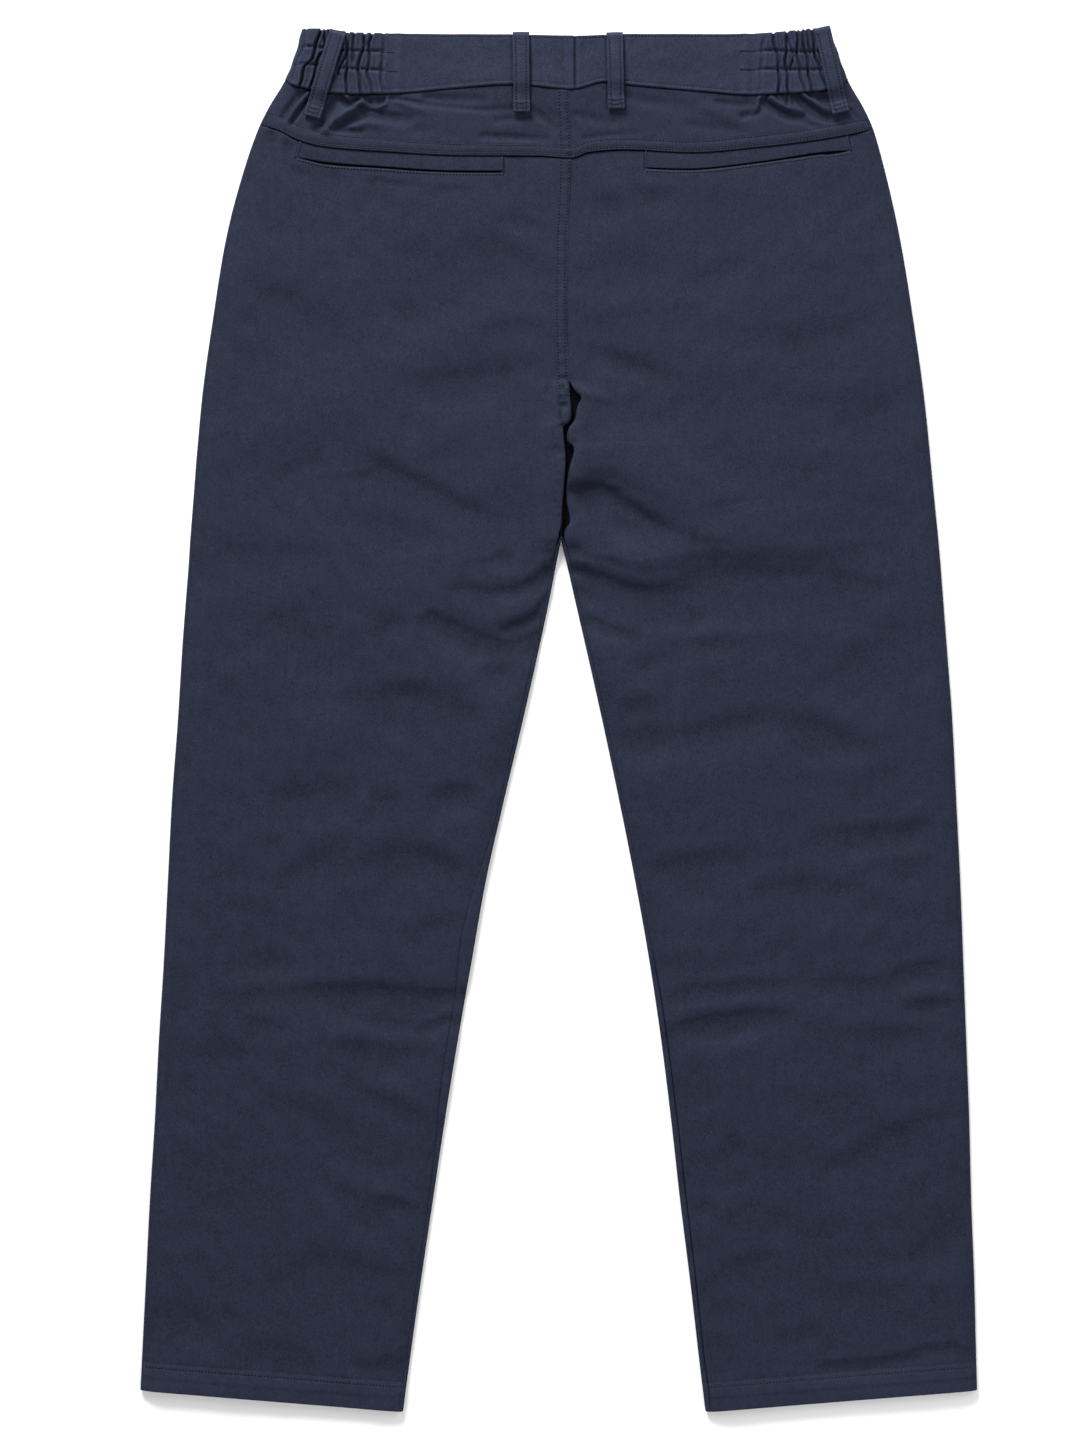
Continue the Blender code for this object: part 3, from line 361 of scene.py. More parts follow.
# How far a panel's end stands off the line of its seam
JOIN = 0.2
STEP_GROWTH = 0.12
FINE_SHARES = 4000
BAND_STEP, BAND_ROWS = 1.8, 58
GATHER_COLUMNS, FRONT_BAND_COLUMNS, LOOP_COLUMNS = 112, 104, 13
WAIST_ROWS, WAIST_STEP = 14, 3.4
ROLL_STEPS, LEAST_TURN = 13, 0.03
SETTLING_ROUNDS = 8
# Widths that are laid in graded steps: (width, widest step, at its start, at its end, even for)
BACK_ACROSS, FRONT_ACROSS = (262.0, 2.9, 0.8, 0.6, 10.0), (262.0, 5.2, 1.6, 1.6)
YOKE_ACROSS, YOKE_DOWN = (230.0, 1.0, 0.8, 0.55, 10.0), (46.0, 0.9, 0.35, 0.35)
WELT_DOWN, WELT_STEPS = (11.0, 0.9, 0.3, 0.3), (1.6, 0.3, 0.3)
MOST_ROUNDING = 1.1
ROUNDING_TURNS = (30, 60, 84)

# Unevenness of the cloth: (height, size, seed) of each layer
LEG_UNEVEN = ((0.36, 62.0, 5), (0.15, 24.0, 9))
YOKE_UNEVEN = ((0.25, 40.0, 21), (0.12, 17.0, 22))
BAND_UNEVEN = ((0.26, 34.0, 41), (0.09, 12.0, 42))
FRONT_UNEVEN = ((0.35, 55.0, 60),)
WELT_UNEVEN = ((0.12, 30.0, 71),)
FELL_CRINKLES = ((1.0, 4.5, 51),)
HEM_RIPPLE = ((0.16, 9.0, 31),)
YOKE_CRINKLES = ((0.14, 4.5, 23),)
BAND_PUCKERS = ((0.12, 3.5, 43),)

# Stitching and seams. Each groove, lip or ridge has its depth or height and its half width.
SEAM_GROOVE, SEAM_GROOVE_WIDTH = 0.7, 0.9
STITCH_GROOVE, STITCH_GROOVE_WIDTH, FLY_GROOVE = 0.3, 1.0, 0.35
INSEAM_GROOVE, INSEAM_GROOVE_WIDTH = {LEFT: 0.35, RIGHT: 0.8}, 0.9
INSEAM_APART = {LEFT: 0.05, RIGHT: 0.4}
INSEAM_SHOWS = {LEFT: (655.0, 905.0), RIGHT: (690.0, 1060.0)}
INSEAM_RAMPS = (40.0, 30.0)
YOKE_SHADE, YOKE_SHADE_WIDTH = 2.6, 0.7
YOKE_TUCK, YOKE_TUCK_WIDTH = 3.3, 1.1
YOKE_PAD, YOKE_PAD_UP, YOKE_PAD_WIDTH = 0.3, 5.0, 3.0
YOKE_LOWER_ROW = 1.6
YOKE_UPPER_ROW = ((-200, 10.5), (-150, 9.0), (-100, 8.2), (0, 7.6), (100, 7.8), (225, 8.6))
YOKE_ROW_SIDE_DOWN = 78.0
FELL_WIDTH, FELL_RISE, FELL_LAP = 8.5, 0.55, 2.2
FELL_ENDS, FELL_END_RAMP = 270.0, 14.0
FELL_EDGE, FELL_EDGE_OUT, FELL_EDGE_WIDTH = 0.35, 0.9, 0.8
FELL_EDGE_SPAN, FELL_EDGE_RAMPS = (200.0, 298.0), (60.0, 8.0)
FELL_CRINKLED, FELL_CRINKLED_AT_END = 0.14, 0.3
FELL_CRINKLE_SPAN, FELL_CRINKLE_RAMPS = (230.0, 294.0), (40.0, 8.0)
FELL_STITCH_ROWS = (1.5, 7.4)
FELL_ROW_SPAN = (47.0, 280.0)
BAND_STITCH_IN, BAND_STITCH_UP = 1.8, 2.2
BAND_ROW_WIDTH = 0.9
BAND_LIP, BAND_LIP_UP, BAND_LIP_WIDTH = 0.5, 0.6, 1.3
BAND_SHOULDER, SHOULDER_OUT, SHOULDER_WIDTH = 0.7, 5.0, 3.5
BAND_FELL_RISE, BAND_FELL_WIDTH = 0.3, 7.5
ELASTIC_ROW_WIDTH = 1.2
HEM_STITCH_UP = 18.8
HEM_EDGE_UP, HEM_EDGE_RISE = 21.4, 0.45
HEM_EDGE_GROOVE, HEM_EDGE_GROOVE_WIDTH = 0.4, 0.9
HEM_TURNED_UP = 10.6
HEM_RIPPLE_UP, HEM_RIPPLE_WIDTH = 13.5, 5.0
HEM_PALENESS, HEM_PALENESS_BELOW = 0.22, 0.6
LOOP_STITCH_OUT = 3.9
LOOP_BARS = (3.2, 6.4)
LOOP_BAR_GROOVE, LOOP_BAR_WIDTH = 0.35, 0.8
LOOP_PRINT, LOOP_PRINT_WIDTH = 0.9, 1.1
LOOP_PITCH, SHORT_PITCH, ELASTIC_PITCH, BACKSTITCH_PITCH = 2.3, 1.9, 2.3, 1.7
BACKSTITCH_LENGTH, BACKSTITCH_APART = 15.0, 0.5
# How far below an edge the gap of its seam is painted near black, as shade
SEAM_SHADE_PAINTED = 0.6
MOUTH_SLOT, MOUTH_SLOT_WIDTH = 2.6, 0.75
MOUTH_LIP, MOUTH_LIP_OUT, MOUTH_LIP_WIDTH = 0.3, 1.2, 0.8
MOUTH_STITCH_OUT = 1.8
MOUTH_GAPES = {
    LEFT: (
        (-197, 0.7), (-182, 1.4), (-165, 1.7), (-140, 1.2), (-80, 1.15), (-43, 1.15),
    ),
    RIGHT: (
        (66, 0.8), (120, 1.0), (172, 1.15), (184, 1.6), (197, 1.5), (205, 2.1), (219, 0.9),
    ),
}
WELT_CLOTH = 1.0
WELT_HOLLOW = 1.3
WELT_SIDE = 0.8
WELT_END_RIDGE, WELT_END_RIDGE_IN = 0.8, 0.7
WELT_TUCK, WELT_TUCK_WIDTH = 1.3, 0.9
WELT_LEAN, WELT_LEAN_REACH = {LEFT: 3.6, RIGHT: 2.8}, 12.0

WELT_TOP_UP, WELT_CLEAR, WELT_FULLNESS = 0.6, 0.15, 0.15

# The waistband's gathers round the side and under the front
SIDE_BULGE, SIDE_BULGE_WAVE = 0.25, 16.0
SIDE_BULGE_SPAN, SIDE_BULGE_RAMPS = (0.0, 40.0), (6.0, 8.0)
UNDER_GATHER, UNDER_GATHER_WAVE, UNDER_GATHER_WAVER = 0.8, 2.1, 9.0
UNDER_GATHER_SPAN, UNDER_GATHER_RAMPS = (7.0, 56.0), (4.0, 14.0)
UNDER_GATHER_MOST = 1.0

# A back belt loop: how it folds over the top, stands off the band and is thinned beside its edges
LOOP_FOLD_STARTS, LOOP_FOLD_LENGTH, LOOP_FOLD_DROP = -1.6, 3.4, 2.6
LOOP_CLEAR, LOOP_STAND, LOOP_BULGE, LOOP_BULGE_SHARE = 0.2, 0.5, 1.8, 0.8
LOOP_PADDING, LOOP_FOOT, LOOP_FOOT_RAMP = 0.5, 9.5, 1.5
LOOP_CROWN, LOOP_EDGE, LOOP_EDGE_AT, LOOP_EDGE_WIDTH = 0.35, 0.5, 0.70, 0.13
LOOP_WAVER, LOOP_WAVER_WAVE = 0.02, 4.1
LOOP_SEAT_ROUNDS, LOOP_SEAT_REACH = 6, 3

# How far inside its area each row of stitching starts and ends
BAND_ROW_INS, YOKE_ROW_INS = (1.5, 6.0), (1.5, 3.0)
HEM_ROW_INS, FRONT_ROW_INS = (3.5, 4.0), (20.0, 58.0)
LOOP_ROW_INS, FRONT_LOOP_ROW = (2.0, 1.5), (7.0, 58.0)
FLY_ROW_INS, SHORT_ROW_IN = (3.0, 0.3), 1.8
LINE_STEP = 2.0

# A stitch, and the near-black disc after it that paints the shade of its needle hole: where their rings
# stand, how high, how wide, and how flat they are
STITCH_PITCH = 2.5
HOLE_LENGTH = 1.5
THREAD_SHAPE = ((0.0, 0.25, 0.75, 1.0), (-0.12, 0.1, 0.1, -0.12), (0.16, 0.31, 0.31, 0.16), 1.0)
HOLE_SHAPE = ((0.0, 0.2, 0.8, 1.0), (0.06, 0.06, 0.06, 0.06), (0.42, 0.82, 0.82, 0.42), 0.12)
FIRST_STITCH, PITCH_UNEVEN, HOLE_INSET = 0.3, 0.08, 0.1
THREAD_BED = 0.5
RING_SIDES = 5
RAY_START = 60.0
RIB_ANGLE = -27.0

# Colours, linear
NAVY = (0.0114, 0.0141, 0.0277)
BAND_NAVY = (0.0142, 0.0179, 0.0342)
# Near black, painted shade: the look of the cloth's inner faces, the seams' gaps and the pockets' mouths
SHADE_PAINTED_NAVY = (0.0024, 0.0029, 0.0058)
THREAD_NAVY = (0.024, 0.031, 0.066)
# Near black, painted shade of the needle holes between stitches
HOLE_SHADE_NAVY = (0.0015, 0.0018, 0.0035)
BUTTON_NAVY = (0.018, 0.021, 0.035)
SHEEN_TINT = (0.62, 0.68, 0.86, 1.0)
FLOOR_WHITE = (0.93, 0.93, 0.93, 1.0)

# Light and camera, in metres but for CAMERA_X, CAMERA_Y and FRAME_HEIGHT
SURROUND = 0.42
LIGHTS = (
    ("key", (-1.1, 3.5, 1.8), (0.0, 0.0, 0.0), 1.7, 325.0),
    ("right_fill", (1.5, 1.0, 1.6), (0.2, 0.3, 0.0), 1.2, 14.0),
    ("hem_fill", (0.9, -2.2, 2.4), (0.0, -0.3, 0.0), 2.0, 36.0),
)
FLOOR_REACH, FLOOR_BELOW = 9.0, 0.0004
CAMERA_X, CAMERA_Y, FRAME_HEIGHT = -11.8, -3.0, 1100.5
LENS, SENSOR = 100.0, 36.0
CAMERA_SEES = 20.0


def smooth(t):
    """0 up to t = 0, 1 from t = 1 on, and an even S between them."""
    t = np.clip(t, 0.0, 1.0)
    return t * t * (3 - 2 * t)


def between(value, starts, ends, ramp, end_ramp=None):
    """1 between two places and 0 beyond them, with an even S inside each."""
    return smooth((value - starts) / ramp) * smooth((ends - value) / (end_ramp or ramp))


def dome(t):
    """0 at t = 0, rising fast at first and level at 1 from t = 1 on."""
    return 1 - (1 - np.clip(t, 0.0, 1.0)) ** 2


def bell(t):
    """1 at t = 0, falling evenly to both sides and nearly 0 at t = 2."""
    return np.exp(-t * t)


def curve_through(knots):
    """A smooth curve through (place, value) points that never swings past them."""
    places, values = np.array(knots, float).T
    steps = np.diff(places)
    slopes = np.diff(values) / steps
    tangents = np.concatenate([slopes[:1], np.zeros(len(slopes) - 1), slopes[-1:]])
    for i in range(1, len(slopes)):
        before, after = slopes[i - 1], slopes[i]
        if before * after > 0:
            near, far = steps[i - 1] + 2 * steps[i], 2 * steps[i - 1] + steps[i]
            tangents[i] = (near + far) / (near / before + far / after)

    def value(place):
        place = np.clip(place, places[0], places[-1])
        i = np.clip(np.searchsorted(places, place, side="right") - 1, 0, len(steps) - 1)
        t = (place - places[i]) / steps[i]
        ends = values[i] * (1 + 2 * t) * (1 - t) ** 2 + values[i + 1] * t * t * (3 - 2 * t)
        leans = tangents[i] * t * (1 - t) ** 2 - tangents[i + 1] * t * t * (1 - t)
        return ends + steps[i] * leans

    return value


def column_curves(table):
    """The curve of each further column of a table against its first column."""
    return [curve_through([(row[0], row[k]) for row in table]) for k in range(1, len(table[0]))]


left_side, left_inner, right_inner, right_side = column_curves(OUTLINE)
OUTER = {LEFT: left_side, RIGHT: right_side}
INNER = {LEFT: left_inner, RIGHT: right_inner}
WRAP = dict(zip(SIDES, column_curves(INSEAM_WRAP)))
WELT_DROP = {side: curve_through(WELT_DROPS[side]) for side in SIDES}
MOUTH_GAPE = {side: curve_through(MOUTH_GAPES[side]) for side in SIDES}
roll_room = curve_through(ROLL_ROOM)
slit_edge = curve_through(SLIT_EDGE)
waist_top = curve_through(WAIST_TOP)
waist_seam = curve_through(WAIST_SEAM)
yoke_seam = curve_through(YOKE_SEAM)
yoke_upper_row = curve_through(YOKE_UPPER_ROW)
crease_scale = curve_through(CREASE_SCALES)


def front_seam(x):
    """The seam between the waistband and the front panels, straight from side to centre."""
    side_x = np.where(x < CENTRE_X, OUTER[LEFT](FRONT_SEAM_AT_SIDE), OUTER[RIGHT](FRONT_SEAM_AT_SIDE))
    share = np.clip((x - CENTRE_X) / (side_x - CENTRE_X), 0.0, 1.0)
    return FRONT_SEAM_AT_CENTRE + (FRONT_SEAM_AT_SIDE - FRONT_SEAM_AT_CENTRE) * share


def hem_share(down):
    """0 on the leg and 1 at its hem, where the cloth is turned up and lies double."""
    return smooth((down - (HEM_DOWN - HEM_DEPTH)) / HEM_RAMP + 0.5)


def slant(down):
    """How much lower a row's inner end lies than its outer end."""
    return HEM_SLANT * smooth((down - SLANT_STARTS) / (HEM_DOWN - SLANT_STARTS))


def edge_radius(down):
    """Radius of the side's folded edge, larger in the hem."""
    return EDGE_RADIUS + (HEM_EDGE_RADIUS - EDGE_RADIUS) * hem_share(down)


def panel_cloth(down):
    """Thickness of a panel: one layer, and two in the hem."""
    return CLOTH + (HEM_CLOTH - CLOTH) * hem_share(down)


def lift(x, down):
    """Height of the underside over the surface: the waist lies on its loops and its button."""
    near_button = 1 - smooth((np.abs(x - CENTRE_X) - BUTTON_LIFT_FLAT) / BUTTON_LIFT_REACH)
    at_waist = 1 - smooth((down - LIFT_ENDS) / LIFT_RAMP)
    return (LOOP_LIFT + (BUTTON_LIFT - LOOP_LIFT) * near_button) * at_waist


def rumple(x, down, size, seed):
    """Soft unevenness of cloth, mostly within 1 either way, with bumps about that size across."""
    random = np.random.default_rng(seed)
    total = 0.0
    count = 16
    for _ in range(count):
        angle = random.normal(math.pi / 2, 0.65)
        wave = size * random.uniform(0.7, 1.9)
        place = (x * math.cos(angle) + down * math.sin(angle)) / wave + random.uniform(0, 1)
        total = total + np.sin(2 * math.pi * place)
    return total / math.sqrt(count)


def uneven(x, down, layers, turn=0):
    """The layers of a cloth's unevenness together. turn changes their seeds, so that the sides differ."""
    return sum(height * rumple(x, down, size, seed + turn) for height, size, seed in layers)


def pressed(distance):
    """How far a row of stitching presses the cloth in, at a distance from it."""
    return STITCH_GROOVE * bell(distance / STITCH_GROOVE_WIDTH)


def crease_height(x, down, creases):
    """Height that the creases add, below 0 in a trough."""
    total = 0.0
    for x1, down1, x2, down2, bow, half_width, depth in creases:
        run_x, run_down = x2 - x1, down2 - down1
        length = math.hypot(run_x, run_down)
        along = ((x - x1) * run_x + (down - down1) * run_down) / length**2 * 2 - 1
        beside = ((down - down1) * run_x - (x - x1) * run_down) / length
        across = (beside + bow * (1 - along * along)) / (CREASE_WIDEN * half_width)
        taper = np.clip(1 - (along / CREASE_TAPER) ** 2, 0.0, 1.0) ** 2
        spread = 1 + (HEM_SPREAD - 1) * smooth(across + 0.5)
        total = total - depth * taper * bell(across / spread)
    return total


def beside_line(x, down, line):
    """How far each place is from a line of (x, down) points, its share along it, and how far below it."""
    line = np.array(line, float)
    runs = np.diff(line, axis=0)
    lengths = np.linalg.norm(runs, axis=1)
    total = lengths.sum()
    nearest, along, below = np.full(np.shape(x), np.inf), np.zeros(np.shape(x)), np.zeros(np.shape(x))
    travelled = 0.0
    for (x0, down0), (run_x, run_down), length in zip(line, runs, lengths):
        t = np.clip(((x - x0) * run_x + (down - down0) * run_down) / length**2, 0.0, 1.0)
        distance = np.hypot(x - x0 - t * run_x, down - down0 - t * run_down)
        nearer = distance < nearest
        nearest = np.where(nearer, distance, nearest)
        along = np.where(nearer, (travelled + t * length) / total, along)
        below = np.where(nearer, down - down0 - t * run_down, below)
        travelled += length
    return nearest, along, below


def fold_height(x, down, folds, spread=0.0):
    """Height that curved folds add. With a spread, each rises more gently to the hem than it falls."""
    x, down = np.broadcast_arrays(x, down)
    total = 0.0
    for depth, first_width, last_width, line in folds:
        distance, along, below = beside_line(x, down, line)
        half_width = first_width + (last_width - first_width) * along
        gentle_side = below if depth > 0 else -below
        half_width = half_width * (1 + spread * smooth(gentle_side / half_width + 0.5))
        fading = 1 - FOLD_FADE * smooth((along - FOLD_FADE_STARTS) / (1 - FOLD_FADE_STARTS))
        total = total - depth * fading * bell(distance / half_width)
    return total


def in_slit(down):
    """1 beside the dark slit below the centre seam, and 0 above and below it."""
    return between(down, SLIT_STARTS, SLIT_ENDS, *SLIT_RAMPS)


def slit_lip(side, x, down):
    """How much the cloth stands up beside the slit, and how each edge curls down into it."""
    edge = INNER[LEFT](down) if side == LEFT else slit_edge(down)
    from_edge = np.maximum(side * (x - edge), 0.0)
    lip = SLIT_LIP[side] * in_slit(down) * bell(from_edge / SLIT_LIP_WIDTH)
    curled = between(down, *SLIT_CURL_SPAN, SLIT_CURL_RAMP)
    return lip - SLIT_CURL[side] * curled * (1 - dome(from_edge / SLIT_CURL_WIDTH))


def fell(x, down):
    """The flat-felled centre seam: a raised strip on its left with two rows of stitching."""
    beside = INNER[LEFT](down) - x
    inside = smooth(beside / 0.6 + 0.5) * (1 - smooth((beside - FELL_WIDTH) / 1.2 + 0.5))
    rows = sum(pressed(beside - row) for row in FELL_STITCH_ROWS)
    plain = 1 - smooth((down - FELL_ENDS) / FELL_END_RAMP)
    edge = FELL_EDGE * bell((beside - FELL_WIDTH - FELL_EDGE_OUT) / FELL_EDGE_WIDTH)
    edge = edge * between(down, *FELL_EDGE_SPAN, *FELL_EDGE_RAMPS)
    crinkled = FELL_CRINKLED + FELL_CRINKLED_AT_END * between(down, *FELL_CRINKLE_SPAN, *FELL_CRINKLE_RAMPS)
    crinkles = crinkled * uneven(x * 0.5, down, FELL_CRINKLES)
    bumps = 0.0
    for bump_x, bump_down, half_x, half_down, height in FELL_BUMPS:
        reach = ((x - bump_x) / half_x) ** 2 + ((down - bump_down) / half_down) ** 2
        bumps = bumps + height * np.exp(-reach * reach) * (beside > 0)
    return inside * (plain * (FELL_RISE - rows) + crinkles) + bumps - edge


def mouth_down(side, x):
    """How far down the mouth of a back pocket lies."""
    return yoke_seam(x) + WELT_DROP[side](x)


def from_welt_ends(side, x):
    """How far inside the nearer end of a pocket each place lies, below 0 beyond it."""
    x_outer, x_inner = WELT_ENDS[side]
    return np.minimum(side * (x_outer - x), side * (x - x_inner))


def pocket_relief(side, x, down):
    """The hollow under a pocket's welt, the slot of its mouth and the stitching pressed in below it."""
    inside, gape = from_welt_ends(side, x), MOUTH_GAPE[side](x)
    below = down - mouth_down(side, x)
    under_welt = smooth((down - yoke_seam(x)) / 0.8) * (1 - smooth((below - 0.3) / 0.6))
    hollow = WELT_HOLLOW * smooth(inside / 4.0) * under_welt
    slot = MOUTH_SLOT * bell((below - 0.5 * gape) / (MOUTH_SLOT_WIDTH * gape))
    lip = MOUTH_LIP * bell((below - MOUTH_LIP_OUT - gape) / MOUTH_LIP_WIDTH)
    return smooth(inside / 2.5) * (lip - slot - pressed(below - MOUTH_STITCH_OUT - gape)) - hollow


def from_hem(side, x, down):
    """Distance up from the hem's end."""
    across = (x - OUTER[side](down)) / (INNER[side](down) - OUTER[side](down))
    return HEM_DOWN + HEM_SLANT * (np.clip(across, 0, 1) - 0.5) - down


def hem_relief(side, x, down):
    """The hem's double cloth, its row of stitching, and the raw edge that is turned under inside it."""
    up = from_hem(side, x, down)
    groove = HEM_EDGE_GROOVE * bell((up - HEM_EDGE_UP - HEM_EDGE_GROOVE_WIDTH) / HEM_EDGE_GROOVE_WIDTH)
    raw_edge = smooth((HEM_EDGE_UP - up) / 1.2 + 0.5) * smooth((up - HEM_TURNED_UP) / 1.6 + 0.5)
    ripple = bell((up - HEM_RIPPLE_UP) / HEM_RIPPLE_WIDTH) * uneven(x, down * 0.2, HEM_RIPPLE)
    return HEM_EDGE_RISE * raw_edge + ripple - pressed(up - HEM_STITCH_UP) - groove


def limited(hollow):
    """The room under the upper wall, kept above the front and below a tall fold without a corner."""
    reach = np.where(hollow < HOLLOW_MIDDLE, HOLLOW_FALL, HOLLOW_RISE)
    return HOLLOW_MIDDLE + reach * np.tanh((hollow - HOLLOW_MIDDLE) / reach)


def wall_height(side, x, down, shape):
    """Height of the upper wall's outer face, with the given shape added to the plain form."""
    radius, cloth = edge_radius(down), panel_cloth(down)
    from_outer = np.abs(OUTER[side](down) - x) - radius
    from_inner = np.abs(x - INNER[side](down)) - radius + SLIT_STANDS[side] * in_slit(down)
    parted = smooth((down - SINK_STARTS) / (SINK_ENDS - SINK_STARTS))
    crown = CROWN * dome(from_outer / CROWN_WIDTH)
    crown = crown * (1 - parted * (1 - dome(from_inner / CROWN_WIDTH)))
    calm = dome(from_outer / 5.0) * (1 - parted * (1 - dome(from_inner / 3.0)))
    plain = 2 * (radius - cloth)
    hollow = limited(plain + crown + calm * shape)
    at_edge = 1 - dome(np.minimum(from_outer, np.where(parted > 0.5, from_inner, from_outer)) / 4.0)
    hollow = hollow + (plain - limited(plain)) * at_edge
    return 2 * cloth + hollow + lift(x, down) * (1 - dome(from_outer / 22.0))


def inseam_shown(side, down):
    """0 where the inseam lies out of sight on the edge, and 1 where it shows on top."""
    return between(down, *INSEAM_SHOWS[side], *INSEAM_RAMPS)


def swell(x, down):
    """The legs lie a little fuller than the waist, and fullest where both meet at the crotch."""
    from_crotch = np.hypot(x - CROTCH_MIDDLE[0], down - CROTCH_MIDDLE[1])
    legs = LEG_SWELL * smooth((down - LEG_SWELL_STARTS) / LEG_SWELL_RAMP)
    return legs + CROTCH_SWELL * bell(from_crotch / CROTCH_REACH)


def back_creases(side, x, down):
    """The shape that all the creases and folds give to a back panel."""
    creases = crease_scale(down) * crease_height(x, down, BACK_CREASES[side])
    return creases + FOLD_SCALE * fold_height(x, down, BACK_FOLDS[side], FOLD_SPREAD) + swell(x, down)


def leg_height(side, x, down):
    """Height of a back panel's face."""
    shape = back_creases(side, x, down) + uneven(x, down, LEG_UNEVEN, side)
    height = wall_height(side, x, down, shape) + hem_relief(side, x, down) + pocket_relief(side, x, down)
    beside_inseam = np.abs(x - INNER[side](down)) - edge_radius(down) - WRAP[side](down) - SEAM_GAP
    seam = INSEAM_GROOVE[side] * bell(beside_inseam / INSEAM_GROOVE_WIDTH)
    seam = seam * inseam_shown(side, down) * smooth((down - SLIT_ENDS) / 8.0)
    under_yoke = YOKE_SHADE * bell((down - yoke_seam(x)) / YOKE_SHADE_WIDTH)
    under_yoke = under_yoke * dome(np.abs(OUTER[side](down) - x) / 12.0)
    return height + fell(x, down) + slit_lip(side, x, down) - seam - under_yoke


def band_height(x):
    """Height of the waistband's outer face across the back, between its gathers."""
    return BAND_HEIGHT + BAND_CENTRE_RISE * (1 - smooth(np.abs(x - CENTRE_X) / BAND_CENTRE_REACH))


def loop_print(x, down):
    """How far the cloth is pressed in along both edges of each belt loop."""
    total = 0.0
    for _, top_x, top_down, foot_x, foot_down in BACK_LOOPS:
        run_x, run_down = foot_x - top_x, foot_down - top_down
        length = math.hypot(run_x, run_down)
        along = ((x - top_x) * run_x + (down - top_down) * run_down) / length
        beside = np.abs((x - top_x) * run_down - (down - top_down) * run_x) / length - LOOP_WIDTH / 2
        total = total + bell(beside / LOOP_PRINT_WIDTH) * smooth((length + 1.0 - along) / 2.0)
    return LOOP_PRINT * total


def yoke_height(side, x, down):
    """The yoke lies over the panels' raw edges, and dips under the waistband's lower lip."""
    below_band = down - waist_seam(x)
    above_seam = yoke_seam(x) - down
    inset = dome((np.abs(OUTER[side](down) - x) - EDGE_RADIUS) / CROWN_WIDTH)
    at_panel = wall_height(side, x, down, 0.5 * uneven(x, down, YOKE_UNEVEN)) + YOKE_PROUD * inset
    at_band = at_panel + (band_height(x) - BAND_PROUD - at_panel) * inset
    height = at_panel + (at_band - at_panel) * (1 - smooth(below_band / YOKE_RISE_REACH))
    creases = YOKE_FOLD_SCALE * fold_height(x, down, YOKE_FOLDS) * smooth((above_seam - 6.0) / 6.0)
    room = height - 2 * CLOTH - lift(x, down) - 0.5
    dips = creases - YOKE_TUCK * bell(below_band / YOKE_TUCK_WIDTH)
    dips = np.where(dips < 0, room * np.tanh(dips / room), dips)
    padded = YOKE_PAD + uneven(x, down * 0.2, YOKE_CRINKLES)
    padded = padded * bell((above_seam - YOKE_PAD_UP) / YOKE_PAD_WIDTH)
    rows = pressed(above_seam - YOKE_LOWER_ROW) + pressed(above_seam - yoke_upper_row(x))
    return height + inset * (dips + padded - rows + fell(x, down) - loop_print(x, down))


def furrow_depth(side, x, down):
    """How deep the furrows cut at each place, below 0 on the swellings beside them."""
    total = 0.0
    for depth, half_width, line in FURROWS[side]:
        xs, downs = np.array(line, float).T
        waver = 0.5 * np.sin(down / 3.1 + depth * 9.0 + half_width * 7.0)
        across = (x - np.interp(down, downs, xs) - waver) / (FURROW_NARROW * half_width)
        fade = between(down, downs[0] - FURROW_FADE, downs[-1] + FURROW_FADE, FURROW_FADE)
        swelling = 0.22 * bell((np.abs(across) - 2.2) / 0.9)
        total = total + FURROW_SCALE * depth * fade * (bell(across) - swelling)
    return MOST_FURROW * np.tanh(total / MOST_FURROW)


def gathered(side, x):
    """0 on the plain waistband and 1 where it is gathered."""
    return smooth(side * (x - GATHER_STARTS[side]) / GATHER_RAMP)


def band_face(side, x, down):
    """Height of the back waistband's face."""
    from_top, from_seam = down - waist_top(x), waist_seam(x) - down
    gather = gathered(side, x)
    elastic = 0.0
    for line in ELASTIC_ROWS[side]:
        xs, downs = np.array(sorted(line), float).T
        elastic = elastic + bell((down - np.interp(x, xs, downs)) / ELASTIC_ROW_WIDTH)
    rows = bell((from_top - BAND_STITCH_IN) / BAND_ROW_WIDTH)
    rows = rows + bell((from_seam - BAND_STITCH_UP) / BAND_ROW_WIDTH)
    lip = BAND_LIP * bell((from_seam - BAND_LIP_UP) / BAND_LIP_WIDTH)
    at_edges = bell((from_seam - 3.0) / 5.0) + 0.6 * bell((from_top - 3.0) / 4.0)
    puckered = at_edges * uneven(x, down * 0.15, BAND_PUCKERS)
    shoulder = BAND_SHOULDER * bell((side * (x - GATHER_STARTS[side]) + SHOULDER_OUT) / SHOULDER_WIDTH)
    puff = PUFF * (1 - 0.8 * elastic) - furrow_depth(side, x, down) * (1 - 0.2 * elastic)
    beside = BAND_BACK_SEAM_X - x
    lapped = BAND_FELL_RISE * smooth(beside / 0.6) * (1 - smooth(beside - BAND_FELL_WIDTH + 0.5))
    raised = uneven(x, down, BAND_UNEVEN) + puckered + lip + shoulder + gather * puff + lapped
    seam = SEAM_GROOVE * bell(beside / SEAM_GROOVE_WIDTH)
    return band_height(x) + raised - (1 - gather) * STITCH_GROOVE * rows - seam - loop_print(x, down)


def back_height(x, down):
    """Height of whatever part of the back lies on top at each place: waistband, yoke or panel."""
    side = LEFT if np.mean(x) < np.mean(INNER[LEFT](down)) else RIGHT
    on_yoke_or_leg = np.where(down < yoke_seam(x), yoke_height(side, x, down), leg_height(side, x, down))
    return np.where(down < waist_seam(x), band_face(side, x, down), on_yoke_or_leg)


def points(x, down, z):
    """Grid of points in the frame, in millimetres."""
    x, down, z = np.broadcast_arrays(x, down, z)
    return np.stack([x, TOP_Y - down, z], axis=-1).astype(float)


def bent(x, down, z, radius, side, angle):
    """Points of a wall bent round (x, z). The angle is measured from outwards to up."""
    return points(x + side * radius * np.cos(angle), down, z + radius * np.sin(angle))


